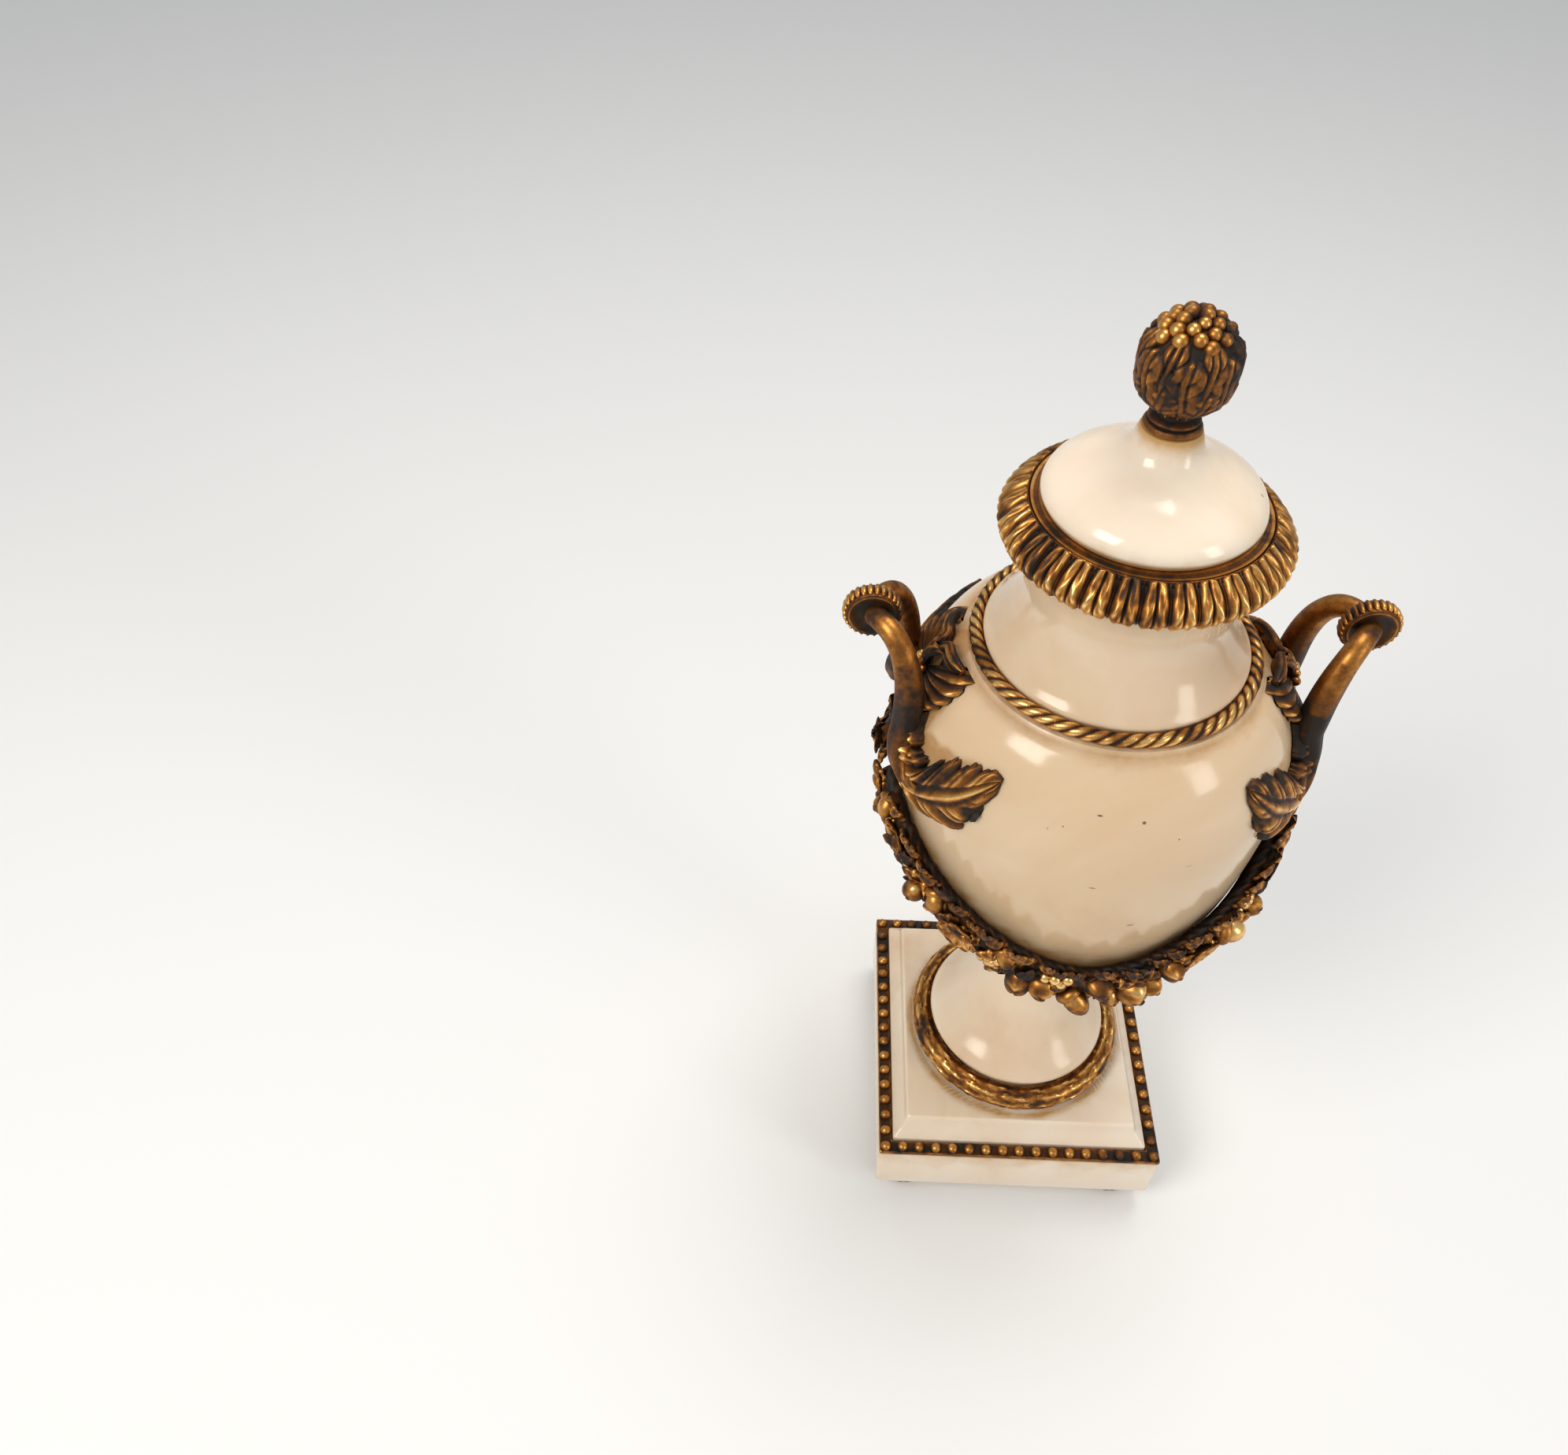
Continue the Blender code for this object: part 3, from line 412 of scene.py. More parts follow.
def turned(profile, value, segments=144, centre=(0.0, 0.0), wrap=False):
    """A (radius, height) profile turned on an upright axis at centre.

    The value is one number, one a point of the profile or one a point of the surface."""
    profile = np.asarray(profile, float)
    turn = full_turn(segments)
    x = centre[0] + profile[:, :1] * np.cos(turn)
    y = centre[1] + profile[:, :1] * np.sin(turn)
    z = np.broadcast_to(profile[:, 1:2], x.shape)
    spread = value if np.ndim(value) == 2 else np.broadcast_to(value, (len(profile),))[:, None]
    return skin(np.stack([x, y, z], -1), spread, wrap_rows=wrap)


foot_line = curve([(0.0, 0.0), (5.9, 0.0), (8.2, 1.3), (9.45, 4.6), (8.8, 7.6), (6.6, 9.0),
                   (6.3, 9.5), (6.6, 11.6), (0.0, 11.6)], 4) / 1000
turn = full_turn(96)
lobe = np.abs(np.sin(6 * turn)) ** 0.6
for number, (sx, sy) in enumerate([(-1, -1), (1, -1), (1, 1), (-1, 1)], 1):
    swell = part_of((foot_line[:, 0] - 0.0062) / 0.0024)[:, None]
    radius = 0.965 * foot_line[:, :1] * (1 - 0.09 * swell * (1 - lobe))
    x = sx * FOOT_PLACE + radius * np.cos(turn)
    y = sy * FOOT_PLACE + radius * np.sin(turn)
    z = np.clip(np.broadcast_to(foot_line[:, 1:2], x.shape), 0.0, FOOT_HEIGHT)
    relief = 0.30 + 0.35 * swell * lobe
    piece(f"foot_{number}", [skin(np.stack([x, y, z], -1), relief)],
          ormolu(f"foot_{number}_bronze", 0.08), "ormolu", 45, 0.30)

# Square of cast beads on a flat strip that lies in the rebate round the panel, chased so
# that each bead stands clear, and blackened between the beads.
BEAD_SQUARE = SLAB_SIDE - 0.0053
BEADS_PER_SIDE = 16
BEAD_RADIUS = 0.00215
STRIP_WIDTH = 0.0050
STRIP_HEIGHT = 0.0016


def sphere(rows, columns):
    """Points of a sphere of radius one, row by row from its top."""
    v = np.linspace(0, math.pi, rows)[:, None]
    u = full_turn(columns)
    return np.stack([np.sin(v) * np.cos(u), np.sin(v) * np.sin(u),
                     np.broadcast_to(np.cos(v), (rows, columns))], -1)


def ball(centre, radii, value, axis=(0, 0, 1), rows=9, columns=14, low=0.25):
    """An ellipsoid whose value is painted light: greatest on its upper side turned out from the
    urn, least below.
    """
    sphere_points = sphere(rows, columns)
    spin = np.array(Vector((0, 0, 1)).rotation_difference(Vector(axis)).to_matrix())
    points = sphere_points * np.array([radii[0], radii[0], radii[1]])
    points = points @ spin.T + np.asarray(centre)
    outward = np.asarray(centre) * np.array([1, 1, 0.0])
    outward = outward / max(np.linalg.norm(outward), 1e-9) * 0.7 + np.array([0, 0, 0.7])
    # The side turned up and out from the urn is painted lighter and the rest painted shade.
    lit_side = (sphere_points @ spin.T) @ outward
    return skin(points, low + (value - low) * part_of(0.30 + 0.82 * lit_side) ** 1.3)


strip_low = slab_top + GAP
strip_top = strip_low + STRIP_HEIGHT
outer, inner = (BEAD_SQUARE + STRIP_WIDTH) / 2, (BEAD_SQUARE - STRIP_WIDTH) / 2
strip_line = [(outer, strip_low), (outer, strip_top - 0.0003), (outer - 0.0003, strip_top),
              (outer - 0.0008, strip_top - 0.0003), (inner + 0.0008, strip_top - 0.0003),
              (inner + 0.0003, strip_top), (inner, strip_top - 0.0003), (inner, strip_low)]
strip = square_profile(strip_line, 0.0007, 6)
strip_relief = np.array([0.30, 0.35, 0.45, 0.22, 0.22, 0.45, 0.35, 0.30])[:, None]
shells = [skin(strip, strip_relief, wrap_rows=True)]
along = np.arange(BEADS_PER_SIDE) / BEADS_PER_SIDE * BEAD_SQUARE - BEAD_SQUARE / 2
for side in range(4):
    a = side * math.pi / 2
    for step_along in along:
        x, y = step_along, -BEAD_SQUARE / 2
        spot = (x * math.cos(a) - y * math.sin(a), x * math.sin(a) + y * math.cos(a),
                strip_top + 0.0001)
        dome = sphere(11, 16)
        height = part_of(0.16 + 0.48 * dome[..., 2])
        shells.append(skin(np.array(spot) + BEAD_RADIUS * dome * (1, 1, 0.85), height))
shells = [(np.maximum(v, (-1, -1, strip_low)), f, a) for v, f, a in shells]
piece("bead_frame", shells, ormolu("bead_frame_bronze", 0.02), "ormolu", 45, 0.22)

# Laurel wreath of cast bronze, a ring that the vessel's foot sits in: six rows of short
# overlapping leaves with a midrib each, and berries tucked between them.
WREATH_RADIUS = 0.0376
WREATH_THICKNESS = 0.0094
WREATH_HEIGHT = 0.0099
WREATH_GROUPS = 18
WREATH_RELIEF = 0.0013
wreath_z = panel_z + GAP


def ring_points(turn, radius, height):
    """Points at a turn round the axis, from arrays of radius and height."""
    return np.stack([radius * np.cos(turn), radius * np.sin(turn),
                     np.broadcast_to(height, radius.shape)], -1)


def hump(x, width):
    """1 at 0 and bell-shaped, 1/e at the width to either side."""
    return np.exp(-(x / width) ** 2)


def leaf_relief(x, y):
    """Height of one leaf: x runs from its base 0 to its tip 1, y from side to side.

    A rounded blade that swells and narrows to a point, with a ridge for the midrib."""
    inside = np.clip(x, 1e-4, 1 - 1e-4)
    width = np.sin(math.pi * inside ** 0.85) ** 0.75
    blade = part_of(1 - (y / np.maximum(width, 1e-3)) ** 2) ** 0.5
    rib = 0.25 * hump(y, 0.13) - 0.12 * np.cos(TAU * 4 * (x - 0.35 * np.abs(y)))
    height = blade * (0.55 + 0.45 * x + rib)
    return np.where((x > 0) & (x < 1), height, 0.0)


turns, sections = 972, 40
turn = full_turn(turns)[:, None]
angle = full_turn(sections)[None, :] - math.pi / 2
carved = np.full((turns, sections), 0.30)
for middle, half_width, shift, size in [(-0.70, 0.55, 0.0, 1.5), (0.05, 0.60, 0.5, 1.7),
                                        (0.85, 0.66, 0.1, 1.7), (1.65, 0.66, 0.6, 1.7),
                                        (2.45, 0.62, 0.2, 1.6), (3.25, 0.55, 0.7, 1.5)]:
    for extra in (0.0, 1.0):
        along = ((turn / TAU * WREATH_GROUPS + shift) % 1.0 + extra) / size
        across = (angle - middle - 0.30 * (along - 0.5)) / half_width
        carved = np.maximum(carved, leaf_relief(along, across))
    local = (turn / TAU * WREATH_GROUPS + shift) % 1.0
    berry = part_of(1 - ((local - 0.10) / 0.13) ** 2 - ((angle - middle - 0.36) / 0.20) ** 2)
    carved = np.maximum(carved, 1.15 * berry ** 0.5)
carved = np.clip(carved, 0, 1.25) / 1.25
under = part_of((np.sin(angle) + 0.93) / 0.25)
depth = WREATH_RELIEF * (1 - carved) * under
radius = WREATH_RADIUS + (WREATH_THICKNESS / 2 - depth) * np.cos(angle)
height = wreath_z + WREATH_HEIGHT / 2 + (WREATH_HEIGHT / 2 - depth) * np.sin(angle)
points = ring_points(turn, radius, height)
piece("laurel_wreath", [skin(points, 0.12 + 0.66 * carved ** 1.1, wrap_rows=True)],
      ormolu("laurel_wreath_bronze", 0.02), "ormolu", 60, 0.25)

# Trumpet foot of the vessel, turned from marble: a rounded rim that laps over the wreath,
# a hollow flare and a slim stem that carries the body.
SOCLE_RADIUS = 0.0350
SOCLE_HEIGHT = 0.0605
STEM_RADIUS = 0.0127
socle_z = panel_z + GAP
socle_top = socle_z + SOCLE_HEIGHT
inside = WREATH_RADIUS - WREATH_THICKNESS / 2 - GAP - 0.0004
over = wreath_z + 0.0096 * 1.06 + GAP
rise = socle_top - over
flare = curve([(SOCLE_RADIUS - 0.0012, over), (SOCLE_RADIUS, over + 0.0016),
               (SOCLE_RADIUS - 0.0022, over + 0.0052), (0.72 * SOCLE_RADIUS, over + 0.24 * rise),
               (0.50 * SOCLE_RADIUS, over + 0.46 * rise), (STEM_RADIUS, over + 0.74 * rise),
               (STEM_RADIUS * 0.93, over + 0.88 * rise), (STEM_RADIUS * 1.12, socle_top)], 12)
line = np.vstack([[(0.0, socle_z), (inside, socle_z), (inside, over)], flare,
                  [(0.0, socle_top)]])
near = fade(line[:, 1] - over - 0.0010, 0.0016) * 0.85
piece("foot_marble", [turned(line, near)], marble("foot_marble_stone", 1.2, 0.65), "marble")

# Body of the vessel, an egg turned and bored out of one block of marble. The wall is the
# same all round, and the bore opens under the collar.
BODY_HEIGHT = 0.1560
BELLY_RADIUS = 0.0604
MOUTH_RADIUS = 0.0436
WALL = 0.0085
THROAT = 0.0210
body_z = socle_top + GAP
body_top = body_z + BODY_HEIGHT
belly_z = 0.760 * BODY_HEIGHT
shoulder = BODY_HEIGHT - belly_z
width = BELLY_RADIUS - MOUTH_RADIUS
egg = curve([
    (STEM_RADIUS * 1.12, 0.0), (0.39 * BELLY_RADIUS, 0.10 * belly_z),
    (0.62 * BELLY_RADIUS, 0.24 * belly_z), (0.78 * BELLY_RADIUS, 0.38 * belly_z),
    (0.89 * BELLY_RADIUS, 0.54 * belly_z), (0.965 * BELLY_RADIUS, 0.74 * belly_z),
    (BELLY_RADIUS, belly_z), (MOUTH_RADIUS + 0.85 * width, belly_z + 0.40 * shoulder),
    (MOUTH_RADIUS + 0.54 * width, belly_z + 0.72 * shoulder),
    (MOUTH_RADIUS + 0.22 * width, belly_z + 0.91 * shoulder),
    (MOUTH_RADIUS, BODY_HEIGHT - 0.0008), (MOUTH_RADIUS - 0.0010, BODY_HEIGHT)], 8)
egg[:, 1] += body_z


def marble_radius(level):
    """Radius of the body's marble at any height."""
    return np.interp(level, egg[:, 1], egg[:, 0])


disc_z = body_top + 0.0108
BRANCH_DROP = 0.0550
GARLAND_DEPTH = 0.0150
GARLAND_SAG = 0.0410
GARLAND_TILT = 0.0015
garland_low = disc_z - BRANCH_DROP - 0.0070 - GARLAND_SAG


def garland_level(turn):
    """Height of the garland's middle at a turn in degrees from the front."""
    s = np.minimum(1.0, np.abs(turn) / 84.0)
    return garland_low + GARLAND_SAG * s ** 1.35 - GARLAND_TILT * np.sin(np.radians(2 * turn))


# Round places under the handles' leaves and branches and the bows: turn, level, half width
HANDLE_AND_BOW_SPOTS = [
    (48, 0.2440, 0.0075), (57, 0.2390, 0.0100), (66, 0.2380, 0.0090), (90, 0.2556, 0.0120),
    (76, 0.2560, 0.0060), (76, 0.2480, 0.0050)]


def stain_and_shade_near_bronze(turn, level):
    """Stain on the marble round garlands, handle leaves and bows, 1 under them, with painted shade
    round the garlands.

    The distance to each, less the bronze's own half width, fades the stain over 2 mm, and a
    paler painted shade and reflection of the bronze over 14 mm from the garlands."""
    hang = np.abs(level - garland_level(turn)) - 0.50 * GARLAND_DEPTH
    near = fade(np.clip(hang, 0, None), 0.0026)
    # This paler, wider term is painted shade and reflected bronze on the lower body, not stain.
    near = np.maximum(near, 0.52 * fade(np.clip(hang, 0, None), 0.014))
    for spot_turn, spot_level, half_width in HANDLE_AND_BOW_SPOTS:
        along = np.radians(np.abs(turn) - spot_turn) * BELLY_RADIUS
        away = np.hypot(along, level - spot_level) - half_width
        near = np.maximum(near, fade(np.clip(away, 0, None), 0.0016))
    return near


step_dir = np.gradient(egg, axis=0)
normal = np.stack([step_dir[:, 1], -step_dir[:, 0]], 1)
normal /= np.linalg.norm(normal, axis=1)[:, None]
cave = (egg - WALL * normal)[::-1]
floor_z = body_z + 0.10 * belly_z + WALL
keep = (cave[:, 1] > floor_z + 0.002) & (cave[:, 0] > THROAT) & (cave[:, 1] < body_top - WALL)
cave = cave[keep][::4]
line = np.vstack([[(0.0, body_z)], egg, [(THROAT + 0.002, body_top), (THROAT, body_top - 0.003)],
                  cave, [(0.6 * cave[-1, 0], floor_z), (0.0, floor_z)]])
near = fade(line[:, 1] - body_top + 0.001, 0.0026) * 0.60
around = full_turn(256)
turn_off = np.degrees(np.arctan2(np.cos(around), np.abs(np.sin(around))))[None, :]
near = np.maximum(near[:, None], 0.74 * stain_and_shade_near_bronze(turn_off, line[:, 1:]))
near = near * (np.arange(len(line)) < len(egg) + 2)[:, None]
belly_marks = [
    ((-0.0081, -0.0539, 0.2521), (0.0011, 0.0004), 0.9),
    ((0.0041, -0.0549, 0.2509), (0.0008, 0.0007), 0.9),
    ((-0.0174, -0.0540, 0.2470), (0.0004, 0.0004), 0.7),
    ((-0.0213, -0.0533, 0.2450), (0.0003, 0.0007), 0.5),
    ((0.0149, -0.0555, 0.2449), (0.0004, 0.0004), 0.8),
    ((-0.0064, -0.0600, 0.2269), (0.0014, 0.0004), 0.7),
    ((0.0087, -0.0586, 0.2071), (0.0016, 0.0007), 0.6),
    ((0.0200, -0.0566, 0.2344), (0.0018, 0.0004), 0.25)]
# The body takes the strongest warm tint, part of it painted shade.
piece("body_marble", [turned(line, near, 256)],
      marble("body_marble_stone", 0.85, 0.98, belly_marks), "marble")

# Bronze rope round the mouth, three strands laid up and bent into a ring that hides the
# joint between the body and the collar.
ROPE_RADIUS = 0.0406
ROPE_THICKNESS = 0.0042
ROPE_TWISTS = 19
turns, sections = 1140, 20
turn = full_turn(turns)[:, None]
angle = full_turn(sections)[None, :]
lay = 3 * (angle - turn * ROPE_TWISTS)
strand = np.abs(np.cos(lay / 2)) ** 0.55
radius = ROPE_THICKNESS / 2 * (0.72 + 0.28 * strand)
middle = body_top + GAP + ROPE_THICKNESS / 2
points = ring_points(turn, ROPE_RADIUS + radius * np.cos(angle), middle + radius * np.sin(angle))
fray = 0.05 * np.sin(5 * lay) * strand
piece("rope_band", [skin(points, 0.02 + 0.80 * strand ** 1.5 + fray, wrap_rows=True)],
      ormolu("rope_band_bronze", 0.08), "ormolu", 60, 0.35)

# Collar of marble between body and rim: a rounded flange, a long hollow waist and a bore.
COLLAR_RADIUS = 0.0383
COLLAR_HEIGHT = 0.0375
COLLAR_EDGE = 0.0046
COLLAR_WAIST = 0.0295
COLLAR_TOP_RADIUS = 0.0325
collar_z = body_top + GAP
collar_top = collar_z + COLLAR_HEIGHT
side = curve([
    (COLLAR_RADIUS, collar_z + 0.6 * COLLAR_EDGE),
    (COLLAR_RADIUS + 0.0002, collar_z + COLLAR_EDGE),
    (COLLAR_RADIUS - 0.0022, collar_z + COLLAR_EDGE + 0.0030),
    (COLLAR_WAIST + 0.0026, collar_z + 0.38 * COLLAR_HEIGHT),
    (COLLAR_WAIST, collar_z + 0.58 * COLLAR_HEIGHT),
    (COLLAR_WAIST + 0.0008, collar_z + 0.79 * COLLAR_HEIGHT),
    (COLLAR_TOP_RADIUS, collar_top)], 12)
line = np.vstack([[(THROAT, collar_z), (COLLAR_RADIUS - 0.0008, collar_z)], side,
                  [(THROAT, collar_top)]])
near = fade(line[:, 1] - collar_z - 0.0025, 0.0018) * 0.8
near = near + fade(line[:, 1] - collar_top, 0.003) * 0.6
piece("neck_marble", [turned(line, near * (line[:, 0] > 0.025), wrap=True)],
      marble("neck_marble_stone", 1.0, 0.85), "marble")

# Rim of cast bronze: a ring of broad leaves with a slit down each, thin darts between
# them, turned over outwards, and a plain fillet inside that the lid rests on.
RIM_RADIUS = 0.0403
RIM_HEIGHT = 0.0140
RIM_LEAVES = 32
RIM_RELIEF = 0.0022
LID_RADIUS = 0.0297
rim_low = collar_top + GAP
rim_top = rim_low + RIM_HEIGHT
bore = LID_RADIUS - 0.0022
brow = curve([(bore + 0.0050, 1.0), (bore + 0.0062, 0.985), (RIM_RADIUS - 0.0030, 0.80),
              (RIM_RADIUS - 0.0006, 0.56), (RIM_RADIUS - 0.0004, 0.36),
              (RIM_RADIUS - 0.0022, 0.17), (COLLAR_TOP_RADIUS + 0.0040, 0.07)], 9)
flats = [(COLLAR_TOP_RADIUS, 0.0), (bore, 0.0), (bore, 1.0), (bore + 0.0020, 1.0),
         (bore + 0.0023, 0.985), (bore + 0.0034, 0.985), (bore + 0.0037, 1.0),
         (bore + 0.0044, 1.0), (bore + 0.0046, 0.95)]
profile = np.vstack([brow, flats])
down = np.concatenate([np.linspace(0, 1, len(brow)), np.full(len(flats), -1.0)])[:, None]
turns = RIM_LEAVES * 24
turn = full_turn(turns)[None, :]
x = ((turn / TAU * RIM_LEAVES) % 1.0) * 2 - 1
leaf_width = np.interp(down[:, 0], [0, 0.15, 0.5, 0.75, 0.93, 1.0],
                       [0.62, 0.82, 0.97, 0.98, 0.80, 0.20])[:, None]
blade = part_of(1 - (np.abs(x) / leaf_width) ** 4.0) ** 0.5
slit = 1.3 * hump(x, 0.10) * np.interp(down, [0, 0.1, 0.8, 1], [1, 1, 0.8, 0.2])
lobes = 0.10 * np.cos(TAU * (3.2 * down - 1.3 * np.abs(x)))
fold = 0.16 * hump(np.abs(x) - 0.55, 0.16)
dart = part_of(1 - np.abs(np.abs(x) - 1.0) / 0.13) * np.interp(
    down, [0, 0.3, 0.8, 1], [0.2, 0.8, 0.8, 0.3])
height = np.maximum(blade * (0.78 + lobes + fold - 0.42 * slit), 0.72 * dart)
on_leaf = (down >= 0).astype(float) * np.interp(down, [-1, 0, 0.06, 0.2, 1], [0, 0, 0.4, 1, 1])
side_out = np.interp(down[:, 0], [-1, 0, 0.3, 0.6, 1.0], [0, 0.1, 0.8, 1.0, 0.9])[:, None]
side_up = np.interp(down[:, 0], [-1, 0, 0.3, 0.6, 1.0], [0, 0.9, 0.5, 0.0, -0.5])[:, None]
sink = RIM_RELIEF * (1 - height) * on_leaf
radius = profile[:, :1] - sink * side_out
level = rim_low + RIM_HEIGHT * profile[:, 1:] - sink * side_up
points = ring_points(np.broadcast_to(turn, radius.shape), radius, level)
fillet = [0.3, 0.1, 0.3, 0.30, 0.45, 0.50, 0.55, 0.45, 0.08]
plain = np.concatenate([np.zeros(len(brow)), fillet])[:, None]
relief = np.where(down >= 0, 0.08 + 0.70 * height * on_leaf + 0.25 * (1 - on_leaf), plain)
piece("rim_mount", [skin(points, relief, wrap_rows=True)],
      ormolu("rim_mount_bronze", 0.02), "ormolu", 60, 0.35)

# Lid of marble, turned with an ogee above and a hollow plug below; it lifts off.
LID_HEIGHT = 0.0235
LID_THICKNESS = 0.0075
LID_PLUG = 0.0060
FINIAL_FOOT_RADIUS = 0.0070
lid_z = rim_top + GAP
lid_top = lid_z + LID_HEIGHT
lid_edge = lid_z + 0.0026
lid_rise = lid_top - lid_edge
ogee = curve([
    (LID_RADIUS - 0.0010, lid_z), (LID_RADIUS, lid_edge),
    (0.925 * LID_RADIUS, lid_edge + 0.18 * lid_rise),
    (0.73 * LID_RADIUS, lid_edge + 0.37 * lid_rise),
    (0.52 * LID_RADIUS, lid_edge + 0.53 * lid_rise),
    (0.345 * LID_RADIUS, lid_edge + 0.73 * lid_rise), (FINIAL_FOOT_RADIUS + 0.0008, lid_top)], 14)
plug = THROAT - 0.0006
line = np.vstack([[(0.0, lid_z - LID_PLUG + LID_THICKNESS),
                   (plug - 0.0040, lid_z - LID_PLUG + LID_THICKNESS),
                   (plug - 0.0030, lid_z - LID_PLUG), (plug, lid_z - LID_PLUG), (plug, lid_z)],
                  ogee, [(0.0, lid_top)]])
near = fade(line[:, 1] - lid_z, 0.0022) * 1.0
near = near + fade(line[:, 1] - lid_top, 0.0034) * 1.15
lid_marks = [((0.0262, -0.0060, 0.3262), (0.0010, 0.0012), 0.85)]
piece("lid_marble", [turned(line, near * (line[:, 0] > 0.006))],
      marble("lid_marble_stone", 1.1, 0.42, lid_marks), "marble")

# Finial of cast bronze that stands on the lid: a ringed foot, then a bud of three tiers of
# acanthus leaves round a heap of berries.
FINIAL_HEIGHT = 0.0318
BUD_LEAVES = 7
BUD_RELIEF = 0.0018
BUD_LIMIT = 0.01265
BERRIES = 26
BERRY_BED = 0.0106
finial_z = lid_top + GAP
finial_top = finial_z + FINIAL_HEIGHT


def acanthus(x, y, teeth):
    """Height of one acanthus leaf: x from its base 0 to its tip 1, y across from -1 to 1.

    Lobes sweep forward from a midrib between two grooves; between the lobes the edge is cut
    back and the face dips."""
    phase = (teeth * (x - 0.26 * np.abs(y)) + 0.2) % 1.0
    lobe = np.sin(math.pi * phase ** 0.8) ** 0.6
    reach = np.interp(x, [0, 0.12, 0.35, 0.62, 0.82, 0.94, 1.0],
                      [0.42, 0.66, 0.99, 0.99, 0.84, 0.52, 0.05])
    reach = reach * (0.70 + 0.30 * lobe)
    dome = part_of(1 - (np.abs(y) / np.maximum(reach, 1e-3)) ** 4) ** 0.5
    rib = 0.22 * hump(y, 0.10) - 0.30 * hump(np.abs(y) - 0.19, 0.06)
    face = 0.50 + 0.34 * x + rib + 0.60 * (lobe - 0.5) * part_of(np.abs(y) / 0.3)
    return np.where((np.abs(y) < reach) & (x > 0) & (x < 1), dome * face, 0.0)


ringed = curve([(0.0, 0.0), (7.0, 0.0), (7.1, 1.4), (6.2, 1.8), (6.7, 2.4), (6.4, 3.0),
                (4.8, 3.8), (4.5, 5.0)], 4)
bud = curve([(4.5, 5.2), (5.0, 6.2), (7.6, 7.6), (9.9, 10.4), (10.8, 14.5), (11.0, 19.0),
             (10.4, 22.5), (9.0, 25.0), (6.6, 27.2), (3.8, 28.6), (0.0, 29.1)], 11)
line = np.vstack([ringed, bud]) / 1000
turn = full_turn(252)[None, :]
carved = np.zeros((len(line), 252))
for low, high, lift, shift in [(0.0050, 0.0274, 0.0, 0.0), (0.0048, 0.0236, 0.22, 0.5),
                               (0.0046, 0.0150, 0.44, 0.0)]:
    x = (line[:, 1:] - low) / (high - low)
    y = ((turn / TAU * BUD_LEAVES + shift + 0.07 * np.sin(5 * x + 9 * shift)) % 1.0) * 2 - 1
    leaf = acanthus(x, y / 1.05, 4.2)
    carved = np.maximum(carved, np.where(leaf > 0, lift + (1 - lift) * leaf, 0.0))
radius = np.minimum(line[:, :1] + BUD_RELIEF * carved * (line[:, 1:] > 0.0049), BUD_LIMIT)
tones = np.interp(line[:, 1:], [0, 0.0014, 0.0018, 0.0026, 0.0042, 0.0060],
                  [0.34, 0.40, 0.10, 0.34, 0.14, 0.05])
tones = np.where(line[:, 1:] > 0.0060, 0.14, tones)
tones = np.where(carved > 0, 0.02 + 0.45 * carved ** 1.9, tones)
points = ring_points(np.broadcast_to(turn, radius.shape), radius, finial_z + line[:, 1:])
shells = [skin(points, tones)]
golden = math.pi * (3 - math.sqrt(5))
for k in range(BERRIES):
    polar = math.acos(1 - 0.42 * (k + 0.5) / BERRIES)
    size = 0.00196 + 0.00020 * math.sin(k * 2.3)
    r = BERRY_BED * math.sin(polar)
    spot = (r * math.cos(k * golden), r * math.sin(k * golden),
            finial_top - 0.0021 - BERRY_BED * (1 - math.cos(polar)))
    shells.append(ball(spot, (size, size), 0.64, rows=11, columns=16, low=0.02))
piece("finial", shells, ormolu("finial_bronze", 0.10, 0.22), "ormolu", 60, 0.30)

# Two cast handles, each of two round branches that spring from a beaded roundel and end in
# an acanthus leaf lying on the marble; pinned through the leaves.
DISC_RADIUS = 0.0092
DISC_THICKNESS = 0.0056
DISC_BEADS = 26
DISC_REACH = 0.0716
BRANCH_SPREAD = 0.0152
BRANCH_REACH = 0.0622


def unit(v):
    """Vectors of length one."""
    return v / np.maximum(np.linalg.norm(v, axis=-1, keepdims=True), 1e-12)


def on_body(turn, level, off):
    """Points off the marble, their turn in degrees from the front towards +X."""
    r = marble_radius(level) + off
    a = np.radians(turn)
    return np.stack(np.broadcast_arrays(r * np.sin(a), -r * np.cos(a), level), -1)


def closed_bar(points, tone, ends):
    """The skin of a bar's rings, drawn together at both ends, the first and last ring's."""
    return skin(np.concatenate([ends[:1], points, ends[1:]]),
                np.concatenate([tone[:1], tone, tone[-1:]]))


def tube(path, radii, value, sides, ridge):
    """A round bar along a path, closed at both ends; ridge(t, angle) adds to its radius."""
    run = unit(np.gradient(path, axis=0))
    first = unit(np.cross(run, (0.0, 1.0, 0.0)))
    second = np.cross(run, first)
    a = full_turn(sides)
    t = np.linspace(0, 1, len(path))[:, None]
    r = np.asarray(radii)[:, None] + ridge(t, a[None, :])
    points = (path[:, None] + first[:, None] * (r * np.cos(a))[..., None]
              + second[:, None] * (r * np.sin(a))[..., None])
    ends = np.repeat(path[[0, -1], None], sides, 1)
    return closed_bar(points, np.broadcast_to(value, (len(path), sides)), ends)


def branch(fore):
    """The Bezier curve of one branch, from the roundel's face to its leaf."""
    a = np.array([DISC_REACH, fore * 0.3 * DISC_THICKNESS, disc_z])
    b = np.array([DISC_REACH - 0.0087, fore * BRANCH_SPREAD, disc_z + 0.0046])
    c = np.array([DISC_REACH - 0.0162, fore * BRANCH_SPREAD, disc_z - 0.0148])
    d = np.array([BRANCH_REACH, fore * 0.9 * BRANCH_SPREAD, disc_z - BRANCH_DROP])
    t = np.linspace(0, 1, 72)[:, None]
    return (1 - t) ** 3 * a + 3 * t * (1 - t) ** 2 * b + 3 * t * t * (1 - t) * c + t ** 3 * d


